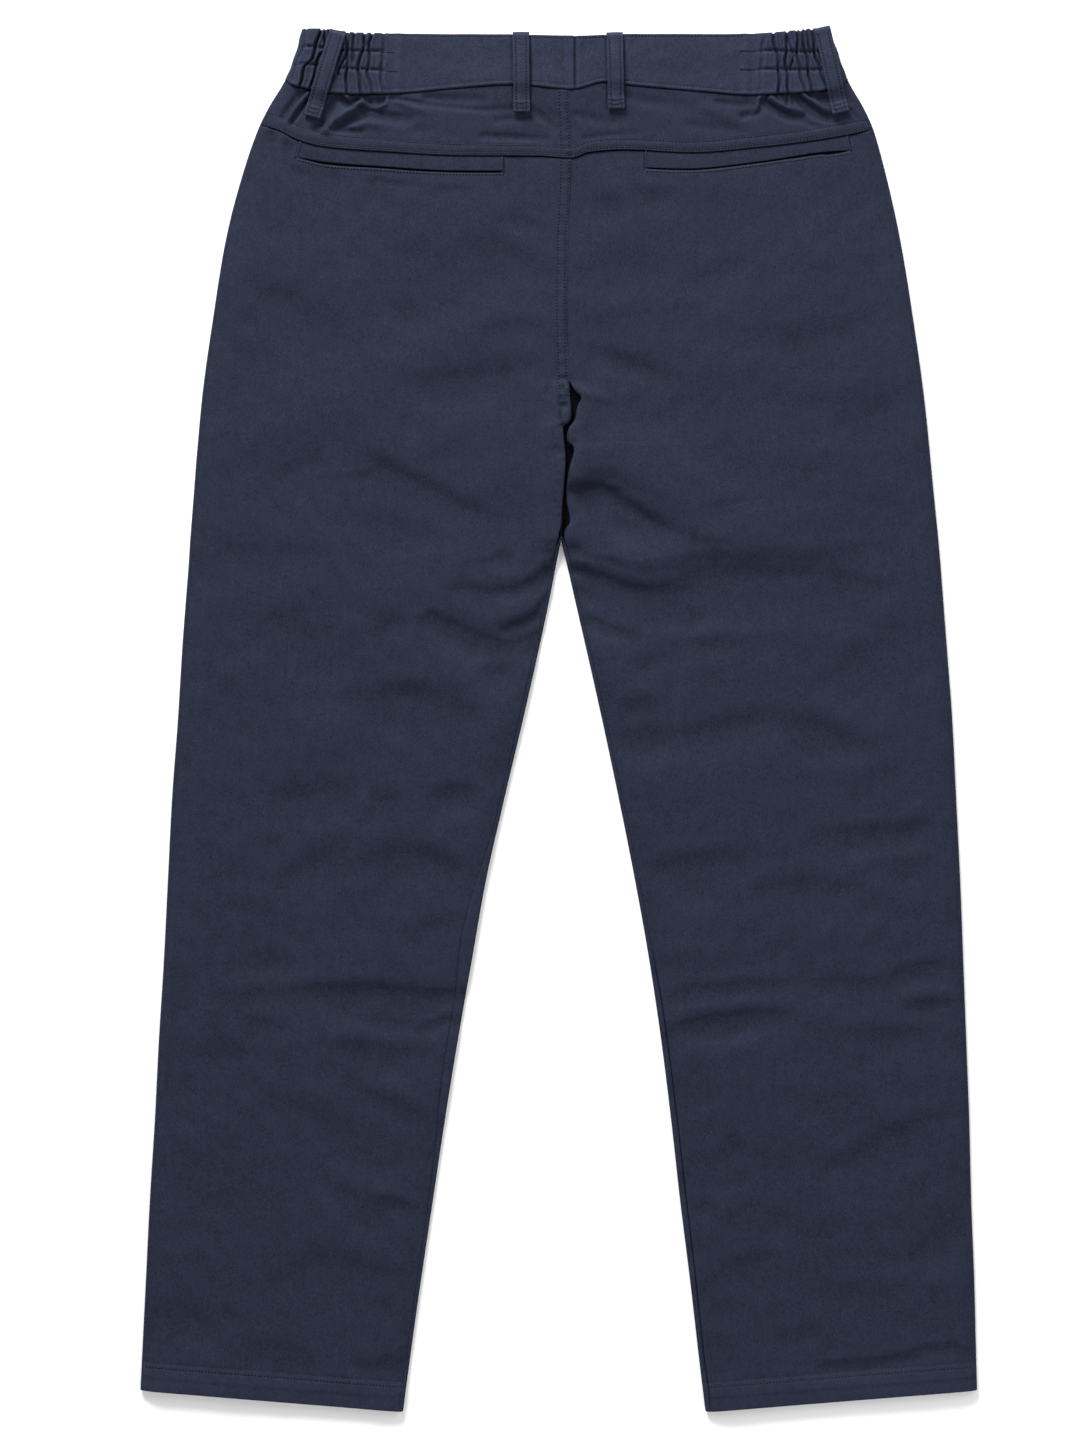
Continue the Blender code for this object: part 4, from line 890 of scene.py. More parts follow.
def rounded(outer, inner):
    """Both faces with rows added that round off the wall's last row."""
    out = outer[-1] - outer[-2]
    out /= np.maximum(np.linalg.norm(out, axis=-1, keepdims=True), 1e-6)
    half = (inner[-1] - outer[-1]) / 2
    reach = np.minimum(np.linalg.norm(half, axis=-1, keepdims=True), MOST_ROUNDING)
    faces = []
    for face, way in ((outer, 1), (inner, -1)):
        rows = []
        for turn in np.radians(ROUNDING_TURNS):
            rows.append(face[-1] + out * reach * math.sin(turn) + way * half * (1 - math.cos(turn)))
        faces.append(np.concatenate([face, rows]))
    return faces


def turned(outer, inner):
    """The same wall with its rows and columns exchanged."""
    return outer.swapaxes(0, 1), inner.swapaxes(0, 1)


def rounded_strip(outer, inner):
    """The wall of a strip, rounded off at its foot and along both sides."""
    outer, inner = rounded(*turned(*rounded(outer, inner)))
    return turned(*rounded(outer[::-1], inner[::-1]))


def softened(values):
    """The grid of values, each averaged with its neighbours."""
    reach = 2
    across = 2 * reach + 1
    wide = np.pad(values, reach, mode="edge")
    rows, columns = values.shape
    total = 0.0
    for i in range(across):
        for j in range(across):
            total = total + wide[i:i + rows, j:j + columns]
    return total / across**2


def hem_paleness(face):
    """How much paler the hem is made: all of it below its stitching, and more between its stitching and its
    raw edge.
    """
    x, down = face[..., 0], TOP_Y - face[..., 1]
    up = np.where(x < CENTRE_X, from_hem(LEFT, x, down), from_hem(RIGHT, x, down))
    turned_up = HEM_PALENESS_BELOW * smooth(up - HEM_TURNED_UP) * (up < HEM_STITCH_UP)
    return HEM_PALENESS * (smooth(HEM_STITCH_UP - up + 1.0) + turned_up)


def painted_shade_under_band(x, down):
    """Where the yoke is painted near black as shade, in the seam's gap under the waistband's lip."""
    return down - waist_seam(x) < SEAM_SHADE_PAINTED


def painted_shade_under_yoke_or_welt(x, down):
    """Where a back panel is painted near black as shade: in the seam's gap under the yoke, and in a pocket's
    mouth.
    """
    shows = down - yoke_seam(x) < SEAM_SHADE_PAINTED
    for side in SIDES:
        below = down - mouth_down(side, x)
        shows |= (from_welt_ends(side, x) > 1.0) & (below > -0.3) & (below < MOUTH_GAPE[side](x))
    return shows


def placed(name, verts, faces, materials, slots, paleness_and_crease_shade=None):
    """A mesh piece on the body root, from points in millimetres. slots gives each face's material."""
    mesh = bpy.data.meshes.new(name)
    mesh.from_pydata((verts * MM).tolist(), [], faces)
    mesh.shade_smooth()
    if paleness_and_crease_shade is not None:
        mesh.attributes.new("paleness_and_crease_shade", "FLOAT", "POINT").data.foreach_set("value", paleness_and_crease_shade.astype(np.float32))
    for material in materials:
        mesh.materials.append(material)
    mesh.polygons.foreach_set("material_index", slots.astype(np.int32))
    obj = bpy.data.objects.new(name, mesh)
    bpy.context.scene.collection.objects.link(obj)
    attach(obj, "root")
    return obj


def shell(name, outer, inner, look, looks, dark=None):
    """A closed wall of cloth from its two faces, with how far its places stand above their neighbours, and
    the hem's paleness, stored for the material. Its inner face, and the outer faces that dark picks, take the
    near-black inside look, which is painted shade.
    """
    rows, columns = outer.shape[:2]
    index = np.arange(rows * columns).reshape(rows, columns)
    corners = (index[:-1, :-1], index[1:, :-1], index[1:, 1:], index[:-1, 1:])
    quads = np.stack(corners, axis=-1).reshape(-1, 4)
    count = rows * columns
    border = np.concatenate([index[0, :-1], index[:-1, -1], index[-1, :0:-1], index[:0:-1, 0]])
    following = np.roll(border, -1)
    rim = np.stack([border, following, following + count, border + count], axis=-1)
    faces = np.concatenate([quads, quads[:, ::-1] + count, rim])
    verts = np.concatenate([outer.reshape(-1, 3), inner.reshape(-1, 3)])
    middle = verts[quads].mean(axis=1)
    # Faces in a seam's gap or a pocket's mouth, and all of the inner face, get the near-black look: painted
    # shade
    shade_painted = dark(middle[:, 0], TOP_Y - middle[:, 1]) if dark else np.zeros(len(quads))
    takes_painted_shade = np.concatenate([shade_painted, np.ones(len(quads)), np.zeros(len(rim))])
    first, second, third, fourth = verts[faces].swapaxes(0, 1)
    across = np.cross(second, third) + np.cross(third, fourth)
    if np.einsum("ij,ij->", first, across) < 0:
        faces = faces[:, ::-1]
    # Places above their neighbours become paler, as wear; places below them, in creases and hollows, darker,
    # as painted shade
    proud = outer[..., 2] - softened(outer[..., 2])
    paleness_and_crease_shade = np.concatenate([(proud + hem_paleness(outer)).ravel(), np.zeros(count)])
    return placed(name, verts, faces.tolist(), (looks[look], looks["inside"]), takes_painted_shade, paleness_and_crease_shade)


def graded(width, widest, at_start, at_end, even_for=0.0):
    """Shares from 0 to 1 across a width in steps that widen from both ends, even for a while at its end."""
    share = np.linspace(0.0, 1.0, FINE_SHARES + 1)
    from_end = np.maximum((1 - share) * width - even_for, 0.0)
    step = np.minimum(at_start + STEP_GROWTH * share * width, at_end + STEP_GROWTH * from_end)
    step = np.minimum(step, widest)
    count = np.concatenate([[0.0], np.cumsum(width / FINE_SHARES / step[1:])])
    return np.interp(np.linspace(0.0, count[-1], int(count[-1]) + 2), count, share)


def roll_share(down):
    """0 where a front ends at the centre seam, and 1 where it is fully rolled up round the inner edge."""
    return np.clip((down - ROLL_STARTS) / ROLL_LENGTH, 0.0, 1.0)


def back_inner_x(side, down):
    """Where the back panel ends: at the centre seam or the slit, and lower down beside the inseam."""
    centre = INNER[side](down) + side * 0.1
    if side == RIGHT:
        centre = np.where(down < SLIT_EDGE[0][0], centre - FELL_LAP, slit_edge(down))
    beside_roll = INNER[side](down) + side * roll_room(roll_share(down))
    beside_strip = INNER[side](down) + side * (edge_radius(down) + WRAP[side](down) + 0.08)
    beside_strip = beside_strip + side * INSEAM_APART[side] * inseam_shown(side, down)
    rolling = smooth(roll_share(down) / 0.4)
    rolled = smooth((roll_share(down) - 0.8) / 0.2)
    return centre + (beside_roll - centre) * rolling + (beside_strip - beside_roll) * rolled


def upper_wall(side, down_at, shares, height):
    """Both faces of an upper wall, from its margin under the outer edge to its inner edge.

    down_at(share, x) gives the rows. As x and down depend on each other, both settle in a few rounds.
    """
    share = shares[None, :]
    down = down_at(share, OUTER[side](SIDE_SEAM_TOP_DOWN))
    for _ in range(SETTLING_ROUNDS):
        start = OUTER[side](down) - side * edge_radius(down)
        x = start + (back_inner_x(side, down) - start) * share
        down = down_at(share, x)
    top = height(side, x, down)
    edge_down = down[:, :1]
    radius, cloth = edge_radius(edge_down), panel_cloth(edge_down)
    edge_x = OUTER[side](edge_down)
    floor = lift(edge_x, edge_down)
    margin_x = edge_x - side * (radius + UNDER_MARGIN * np.array([[1.0, 0.5]]))
    middle = edge_x - side * radius
    turns = np.radians(np.linspace(-90, 78, 9))[None, :]
    faces = []
    for rise, bend, z in ((0.0, radius, top), (cloth, radius - cloth, top - panel_cloth(down))):
        margin = points(margin_x, edge_down, floor + rise)
        edge = bent(middle, edge_down, floor + radius, bend, side, turns)
        faces.append(np.concatenate([margin, edge, points(x, down, z)], axis=1))
    return faces


def panel_levels(coarser):
    """Levels of a leg panel's rows, closer together at the pockets, the crotch and the hem."""
    hem_starts, last = HEM_DOWN - HEM_DEPTH - 4, HEM_DOWN - HEM_CLOTH / 2
    mouth_starts, mouth_ends = MOUTH_SPAN
    return np.concatenate([
        SEAM_LEVEL + np.array(NEAR_SEAM),
        np.arange(SEAM_LEVEL + mouth_starts, SEAM_LEVEL + mouth_ends, MOUTH_STEP),
        SEAM_LEVEL + np.array(BELOW_MOUTH),
        np.arange(SEAT_STARTS, CROTCH_STARTS - 1, SEAT_STEP * coarser),
        np.arange(CROTCH_STARTS, CROTCH_ENDS, CROTCH_STEP * coarser),
        np.arange(LEG_STARTS, hem_starts, LEG_STEP * coarser),
        np.arange(hem_starts, last, HEM_STEP * coarser),
        [last],
    ])


def make_back(side, looks):
    """A back panel: seat and back of the leg, its first row tucked under the yoke."""
    levels = np.concatenate([[SEAM_LEVEL + SEAM_GAP - JOIN], panel_levels(1.0)])[:, None]
    follow = 1 - smooth((levels - SEAM_LEVEL) / SEAM_FOLLOWED_FOR)

    def down_at(share, x):
        down = levels + slant(levels) * (share - 0.5) + follow * (yoke_seam(x) - SEAM_LEVEL)
        down[0] -= TUCK * dome(share[0] / TUCK_SHARE)
        return down

    outer, inner = upper_wall(side, down_at, graded(*BACK_ACROSS), leg_height)
    for face in (outer, inner):
        face[0, :, 2] -= TUCK_SUNK
    name = "leg_back_" + SIDE_NAME[side]
    return shell(name, *rounded(outer, inner), "twill", looks, painted_shade_under_yoke_or_welt)


def make_yoke(side, looks):
    """The yoke, from under the waistband's lip to its topstitched lower edge."""
    shares_down = graded(*YOKE_DOWN)[:, None]

    def down_at(share, x):
        first, last = waist_seam(x) - JOIN, yoke_seam(x) - CLOTH / 2 + JOIN
        return first + (last - first) * shares_down

    outer, inner = upper_wall(side, down_at, graded(*YOKE_ACROSS), yoke_height)
    return shell("yoke_cloth_" + SIDE_NAME[side], *rounded(outer, inner), "twill", looks, painted_shade_under_band)


def fly_line(down):
    """How far from the centre seam the fly's stitching runs."""
    turn = np.clip((down - FLY_STRAIGHT_TO) / (FLY_ENDS - FLY_STRAIGHT_TO), 0.0, 1.0)
    return FLY_WIDTH * np.sqrt(np.clip(1 - turn * turn, 0.0, 1.0))


def fly_relief(side, x, down):
    """The J of stitching beside the fly, on the wearer's left front."""
    if side == RIGHT:
        return 0.0
    beside = INNER[LEFT](down) - x
    within = 1 - smooth((down - FLY_ENDS + 2) / 2)
    return FLY_GROOVE * within * bell((beside - fly_line(down)) / STITCH_GROOVE_WIDTH)


def front_relief(side, x, down, room):
    """How far the front's under face stands off the surface, at its creases and pressed seams."""
    raised = np.clip(-crease_height(x, down, FRONT_CREASES[side]), 0.0, None)
    raised = raised + np.clip(uneven(x, down, FRONT_UNEVEN, side) - 0.1, 0.0, None)
    from_centre = np.abs(x - INNER[side](down)) + 20.0 * roll_share(down)
    raised = raised + SEAM_GROOVE * bell(from_centre / SEAM_GROOVE_WIDTH)
    raised = raised + pressed(from_hem(side, x, down) - HEM_STITCH_UP) + fly_relief(side, x, down)
    return room * np.tanh(raised / room)


def rolled_end(side, down):
    """Where a front leaves the surface in one row, and both faces of its cloth from there on.

    Down to the slit it lies flat as far as the centre seam. Below it rolls up round the leg's inner
    edge, and its last strip lies on the back of the leg beside the inseam.
    """
    cloth, strip = panel_cloth(down), WRAP[side](down)
    length = math.pi * edge_radius(down)
    turn = math.pi * smooth(roll_share(down))
    limit = INNER[side](down) + side * CENTRE_GAP / 2
    floor = lift(limit, down)
    flat = turn < LEAST_TURN
    bend = length / max(turn, LEAST_TURN)
    reach = length if flat else bend * math.sin(min(turn, math.pi / 2))
    start = limit + side * (reach + strip * max(math.cos(turn), 0.0))
    steps = np.linspace(0.0, 1.0, ROLL_STEPS)[1:]
    if flat:
        x = np.append(start - side * length * steps, [limit])
        faces = [points(x, down, lift(x, down) + rise) for rise in (0.0, cloth)]
    else:
        faces = [bent(start, down, floor + bend, radius, -side, turn * steps - math.pi / 2)
                 for radius in (bend, bend - cloth)]
        to_tip = np.array([-side * strip * math.cos(turn), 0.0, strip * math.sin(turn)])
        faces = [np.concatenate([face, face[-1:] + to_tip]) for face in faces]
        seat = leg_height(side, faces[0][-1:, 0], np.array([down]))[0]
        stretch = 1 + (seat / (floor + 2 * bend) - 1) * smooth(roll_share(down))
        for face in faces:
            face[:, 2] *= stretch
    return start, [np.insert(face, -1, (face[-2] + face[-1]) / 2, axis=0) for face in faces]


def make_front(side, looks):
    """A front panel, lying face down, from the side seam under the garment to the inseam on top."""
    top_x = OUTER[side](SIDE_SEAM_TOP_DOWN)
    bottom = float(yoke_seam(top_x))
    shares = graded(*FRONT_ACROSS)

    def waist_row(share_down):
        return lambda share, x: front_seam(x) + JOIN + (bottom - front_seam(x) - JOIN) * share_down

    def leg_row(level):
        return lambda share, x: level + slant(level) * (share - 0.5)

    seat_levels = np.arange(bottom + 4, CROTCH_STARTS - 1, WAIST_STEP)
    leg_levels = panel_levels(FRONT_COARSER)
    rows = [waist_row(share) for share in np.linspace(0.0, 1.0, WAIST_ROWS)]
    rows += [leg_row(level) for level in (*seat_levels, *leg_levels[leg_levels >= CROTCH_STARTS])]
    outer, inner = [], []
    for row in rows:
        edge_down = row(0.0, top_x)
        first = OUTER[side](edge_down) - side * (edge_radius(edge_down) + UNDER_MARGIN + SEAM_GAP)
        start, (under_end, upper_end) = rolled_end(side, row(1.0, CENTRE_X))
        x = first + (start - first) * shares
        down = row(shares, x)
        floor, thick = lift(x, down), panel_cloth(down)
        room = np.maximum(wall_height(side, x, down, -1.2) - 2 * thick - floor - 0.3, 0.2)
        calm = smooth(np.abs(x - start) / 8.0) * smooth(np.abs(x - first) / 3.0)
        under = floor + calm * front_relief(side, x, down, room)
        outer.append(np.concatenate([points(x, down, under), under_end]))
        inner.append(np.concatenate([points(x, down, under + thick), upper_end]))
    outer, inner = rounded(np.array(outer), np.array(inner))
    return shell("leg_front_" + SIDE_NAME[side], outer, inner, "twill", looks)


def band_radius(side, down):
    """Radius of the waistband's fold round the side."""
    return (BAND_HEIGHT - lift(OUTER[side](down), down)) / 2


def band_over_back(side, shares):
    """Both faces of the waistband on the back, from the centre seam to the side."""
    start, gather = BAND_BACK_SEAM_X + side * SEAM_GAP / 2, GATHER_STARTS[side]
    count = abs(gather - start) // BAND_STEP + 1
    plain = start + (gather - start) * (np.arange(count) / count)
    ribbed = np.linspace(0.0, 1.0, GATHER_COLUMNS)
    ends = [OUTER[side](down) - side * band_radius(side, down) for down in (0.0, FRONT_SEAM_AT_SIDE)]
    top_x, foot_x = (np.concatenate([plain, gather + (end - gather) * ribbed]) for end in ends)
    x = top_x + (foot_x - top_x) * shares
    first, last = waist_top(x) + BAND_CLOTH / 2, waist_seam(x) - BAND_CLOTH / 4 + 0.3
    furrows = furrow_depth(side, x, np.where(shares > 0.5, last, first))
    drawn = EDGE_DIP * gathered(side, x) * np.clip(furrows, 0.0, 2.0) / 2
    first = first + drawn * (shares < 0.5)
    last = last - drawn * (shares > 0.5)
    down = first + (last - first) * shares
    to_edge = smooth(np.abs(x - (OUTER[side](down) - side * band_radius(side, down))) / 7.0)
    face = BAND_HEIGHT + (band_face(side, x, down) - BAND_HEIGHT) * to_edge
    lining = band_height(x) - BAND_CLOTH + LINING_SHARE * (face - band_height(x))
    return points(x, down, face), points(x, down, lining)


def band_round_side(side, down):
    """Both faces of the waistband's fold round the side, which the gathers make bulge in and out."""
    radius = band_radius(side, down)
    bulge = SIDE_BULGE * np.sin(2 * math.pi * down / SIDE_BULGE_WAVE + side)
    bulge = bulge * between(down, *SIDE_BULGE_SPAN, *SIDE_BULGE_RAMPS)
    middle = OUTER[side](down) - side * (radius - bulge)
    height = lift(OUTER[side](down), down) + radius
    turns = np.radians(np.linspace(78, -90, 13))[None, :]
    return [bent(middle, down, height, bend, side, turns) for bend in (radius, radius - BAND_CLOTH)]


def band_under_front(side, shares, edge_down):
    """Both faces of the waistband under the front. The right end lies over the left one at the lap."""
    run = np.linspace(0.0, 1.0, FRONT_BAND_COLUMNS)[None, 1:]
    beside, end = OUTER[side](0.0) - side * 5.0, CENTRE_X - side * LAP
    lean = (OUTER[side](edge_down) - OUTER[side](0.0)) * (1 - smooth(run / 0.35))
    x = beside + (end - beside) * run + lean
    first, last = waist_top(x) + BAND_CLOTH / 2, front_seam(x) - BAND_CLOTH / 4
    down = first + (last - first) * shares
    z = lift(x, down)
    if side == RIGHT:
        z = z + (BAND_CLOTH + SEAM_GAP) * (1 - smooth((x - CENTRE_X - LAP - SEAM_GAP) / LAP_RAMP))
    from_side = np.abs(x - OUTER[side](down))
    waves = np.sin(from_side / UNDER_GATHER_WAVE + np.sin(down / UNDER_GATHER_WAVER))
    gathers = UNDER_GATHER * np.clip(waves, 0, None)
    gathers = gathers * between(from_side, *UNDER_GATHER_SPAN, *UNDER_GATHER_RAMPS)
    rows = 0.0
    for from_edge in (down - first, last - down):
        rows = rows + STITCH_GROOVE * bell((from_edge + 1 - BAND_STITCH_IN) / BAND_ROW_WIDTH)
    under = z + np.minimum(gathers + rows, UNDER_GATHER_MOST) * smooth((from_side - 6.0) / 3.0)
    return points(x, down, under), points(x, down, z + BAND_CLOTH + 0.4 * gathers)


def make_waistband(side, looks):
    """Half of the waistband: over the back, round the side and along the front to its lap."""
    shares = np.linspace(0.0, 1.0, BAND_ROWS)[:, None]
    top = float(waist_top(OUTER[side](0.0))) + BAND_CLOTH / 2
    edge_down = top + (FRONT_SEAM_AT_SIDE - BAND_CLOTH / 4 - top) * shares
    parts = (
        band_over_back(side, shares),
        band_round_side(side, edge_down),
        band_under_front(side, shares, edge_down),
    )
    outer, inner = (np.concatenate(faces, axis=1) for faces in zip(*parts))
    outer, inner = rounded(outer, inner)
    outer, inner = rounded(outer[::-1], inner[::-1])
    outer, inner = turned(*rounded(*turned(outer, inner)))
    return shell("waistband_cloth_" + SIDE_NAME[side], outer, inner, "band", looks)


def make_welt(side, looks):
    """A pocket welt: a folded strip from the yoke seam to the dark mouth of the pocket."""
    x_outer, x_inner = WELT_ENDS[side]
    width = abs(x_inner - x_outer) + 2 * WELT_SIDE
    share = graded(width, *WELT_STEPS)[None, :]
    share_down = graded(*WELT_DOWN)[:, None]
    straight_x = x_outer + side * (WELT_SIDE - width * share)
    first, last = yoke_seam(straight_x) - WELT_TOP_UP, mouth_down(side, straight_x) - WELT_CLOTH / 2
    down = first + (last - first) * share_down
    leaning = (share_down - 0.5) * (1 - smooth(share * width / WELT_LEAN_REACH))
    x = straight_x + side * WELT_LEAN[side] * leaning
    panel = wall_height(side, x, down, back_creases(side, x, down))
    fullness = WELT_FULLNESS * np.sin(math.pi * share_down)
    fullness = fullness + share_down * uneven(x, down, WELT_UNEVEN, side)
    tucked = WELT_TUCK * bell((down - yoke_seam(x)) / WELT_TUCK_WIDTH)
    from_end = np.minimum(share, 1 - share) * width
    ridge = WELT_END_RIDGE * bell((from_end - WELT_END_RIDGE_IN) / WELT_END_RIDGE_IN)
    top = panel + WELT_CLEAR + fullness - tucked + ridge
    outer, inner = rounded_strip(points(x, down, top), points(x, down, top - WELT_CLOTH))
    return shell("welt_cloth_" + SIDE_NAME[side], outer, inner, "twill", looks)


def strip_seat(x, down):
    """Height of the highest cloth under and around each point of a belt loop's middle line."""
    tallest = np.full(np.shape(x), -np.inf)
    for dx in (-5.0, -2.5, 0.0, 2.5, 5.0):
        for dd in (-2.0, 0.0, 2.0):
            tallest = np.maximum(tallest, back_height(x + dx, down + dd))
    return tallest


def loop_frame(top_x, top_down, foot_x, foot_down):
    """A back belt loop's top, its length, and the ways along and across it, as (x, down)."""
    top, foot = np.array([top_x, top_down]), np.array([foot_x, foot_down])
    length = np.linalg.norm(foot - top)
    along = (foot - top) / length
    return top, length, along, np.array([along[1], -along[0]])


def make_back_loop(name, place, looks):
    """A belt loop: folded over the waistband's top edge, free over the band, its foot turned under."""
    top, length, along, side_way = loop_frame(*place)
    fold, free_part = np.linspace(LOOP_FOLD_STARTS, 3.0, 8), np.linspace(3.8, length - 8, 46)
    s = np.concatenate([fold, free_part, np.linspace(length - 7.4, length - 1.1, 9)])[:, None]
    across = np.linspace(-1.0, 1.0, LOOP_COLUMNS)[None, :]
    middle = top + s * along
    seat = strip_seat(middle[:, 0], np.maximum(middle[:, 1], top[1] + 1.0))
    for _ in range(LOOP_SEAT_ROUNDS):
        padded = np.pad(seat, 1, mode="edge")
        seat = np.maximum(seat, (padded[:-2] + padded[2:]) / 4 + seat / 2)
    window = 2 * LOOP_SEAT_REACH + 1
    padded = np.pad(seat, LOOP_SEAT_REACH, mode="edge")
    seat = np.convolve(padded, np.ones(window) / window, mode="valid")[:, None]
    bulging = np.sin(math.pi * np.clip(s / length / LOOP_BULGE_SHARE, 0, 1)) ** 2
    free = LOOP_STAND + LOOP_BULGE * bulging
    over_top = LOOP_FOLD_DROP * (1 - dome((s - LOOP_FOLD_STARTS) / LOOP_FOLD_LENGTH))
    thick = LOOP_CLOTH + LOOP_PADDING + smooth((s - length + LOOP_FOOT) / LOOP_FOOT_RAMP)
    edges = LOOP_EDGE * bell((np.abs(across) - LOOP_EDGE_AT) / LOOP_EDGE_WIDTH)
    crown = LOOP_CROWN * (1 - across**2) - edges
    bars = sum(LOOP_BAR_GROOVE * bell((s - length + back) / LOOP_BAR_WIDTH) for back in LOOP_BARS)
    under = seat + LOOP_CLEAR + free - over_top
    width = (LOOP_WIDTH / 2 - LOOP_SIDE_IN) * (1 + LOOP_WAVER * np.sin(s / LOOP_WAVER_WAVE))
    x = middle[:, :1] + side_way[0] * across * width
    down = middle[:, 1:] + side_way[1] * across * width
    outer, inner = rounded_strip(points(x, down, under + thick + crown - bars), points(x, down, under))
    return shell(name.replace("belt_loop", "loop"), outer, inner, "band", looks)


def make_front_loop(side, looks):
    """A belt loop of the front, flat under the waistband."""
    down = np.linspace(*FRONT_LOOP_SPAN, 40)[:, None]
    across = np.linspace(-1.0, 1.0, LOOP_COLUMNS)[None, :]
    x = CENTRE_X + side * FRONT_LOOP_FROM_CENTRE + across * (LOOP_WIDTH / 2 - LOOP_SIDE_IN)
    face = 0.10 * across**2 + 0.12 * bell((np.abs(across) - 0.72) / 0.12)
    outer, inner = rounded_strip(points(x, down, face), points(x, down, LOOP_CLOTH))
    return shell("loop_front_" + SIDE_NAME[side], outer, inner, "band", looks)


def surface_of(pieces, facing=1):
    """The height of these pieces at any place, seen from above, or from below where facing is -1."""
    corners, faces = [], []
    for piece in pieces:
        start = len(corners)
        corners += [vertex.co[:] for vertex in piece.data.vertices]
        faces += [[start + k for k in polygon.vertices] for polygon in piece.data.polygons]
    tree = BVHTree.FromPolygons(corners, faces)

    def height(x, down):
        found = []
        for place_x, place_down in zip(np.ravel(x), np.ravel(down)):
            start = Vector((place_x * MM, (TOP_Y - place_down) * MM, facing * RAY_START * MM))
            hit = tree.ray_cast(start, Vector((0.0, 0.0, -facing)))[0]
            found.append(hit.z / MM if hit else np.nan)
        return np.reshape(found, np.shape(x))

    return height


def threads(line, height, starts, length, shape, facing):
    """Rings along short stretches of a line of (x, down) points that begin at each start."""
    steps = np.linalg.norm(np.diff(line, axis=0), axis=1)
    travelled = np.concatenate([[0.0], np.cumsum(steps)])
    shares, rises, widths, flatness = shape
    places = starts[:, None] + length * np.array(shares)
    x, down = (np.interp(places, travelled, line[:, k]) for k in range(2))
    seat = height(x, down)
    fits = np.isfinite(seat).all(axis=1)
    x, down, seat = x[fits], down[fits], seat[fits]
    level = np.median(seat, axis=1, keepdims=True)
    z = np.clip(seat, level - THREAD_BED, level + THREAD_BED) + facing * np.array(rises)
    run = np.stack([x[:, -1] - x[:, 0], down[:, -1] - down[:, 0]], axis=-1)
    run /= np.linalg.norm(run, axis=-1, keepdims=True)
    side_x, side_down = run[:, 1][:, None, None], -run[:, 0][:, None, None]
    angles = np.linspace(0, 2 * math.pi, RING_SIDES, endpoint=False)
    radius = np.array(widths)[:, None]
    ring_x = x[:, :, None] + side_x * radius * np.cos(angles)
    ring_down = down[:, :, None] + side_down * radius * np.cos(angles)
    return points(ring_x, ring_down, z[:, :, None] + flatness * radius * np.sin(angles))


def stitch_row(line, height, pitch=STITCH_PITCH, facing=1):
    """Rings of each stitch along a line of (x, down) points, and of the near-black disc after each that
    paints its needle hole's shade.
    """
    line = np.array(line, float)
    total = np.linalg.norm(np.diff(line, axis=0), axis=1).sum()
    starts = np.arange(FIRST_STITCH, total - pitch, pitch)
    random = np.random.default_rng(len(starts) + int(abs(line[0, 0])))
    starts = starts + random.uniform(-PITCH_UNEVEN, PITCH_UNEVEN, len(starts)) * pitch
    length = pitch - HOLE_LENGTH
    thread = threads(line, height, starts, length, THREAD_SHAPE, facing)
    hole_starts, hole_length = starts + length + HOLE_INSET, HOLE_LENGTH - 2 * HOLE_INSET
    hole = threads(line, height, hole_starts, hole_length, HOLE_SHAPE, facing)
    return thread, hole


def make_stitches(name, rows, looks):
    """All the stitches of one area as a single piece, with a near-black disc after each that paints the shade
    of its needle hole.
    """
    rings = np.concatenate([part for row in rows for part in row])
    is_hole_shade = np.concatenate([np.full(len(part), k) for row in rows for k, part in enumerate(row)])
    count, ring_count, sides = rings.shape[:3]
    index = np.arange(count * ring_count * sides).reshape(count, ring_count, sides)
    around = np.roll(index, -1, axis=2)
    quads = np.stack([index[:, :-1], index[:, 1:], around[:, 1:], around[:, :-1]], axis=-1).reshape(-1, 4)
    caps = np.concatenate([index[:, 0, :], index[:, -1, ::-1]])
    slots = np.concatenate([np.repeat(is_hole_shade, (ring_count - 1) * sides), is_hole_shade, is_hole_shade])
    faces = quads.tolist() + caps.tolist()
    return placed(name, rings.reshape(-1, 3), faces, (looks["thread"], looks["hole"]), slots)


def spaced(first, last):
    """Evenly spaced places from the first to the last, for a line of stitching."""
    return np.linspace(first, last, max(int(abs(last - first) / LINE_STEP), 2))


def line_across(x_from, x_to, down_of_x):
    """A line of (x, down) points that runs across, with down given by x."""
    x = spaced(x_from, x_to)
    return np.stack([x, down_of_x(x)], axis=-1)


def line_down(down_from, down_to, x_of_down):
    """A line of (x, down) points that runs down, with x given by down."""
    down = spaced(down_from, down_to)
    return np.stack([x_of_down(down), down], axis=-1)


def hem_row(side):
    """The line of the stitching that holds a hem's turned-up edge."""
    outer, inner = OUTER[side](HEM_DOWN), INNER[side](HEM_DOWN)
    x = np.linspace(outer - side * HEM_ROW_INS[0], inner + side * HEM_ROW_INS[1], 60)
    across = (x - outer) / (inner - outer)
    return np.stack([x, HEM_DOWN - HEM_STITCH_UP + HEM_SLANT * (across - 0.5)], axis=-1)


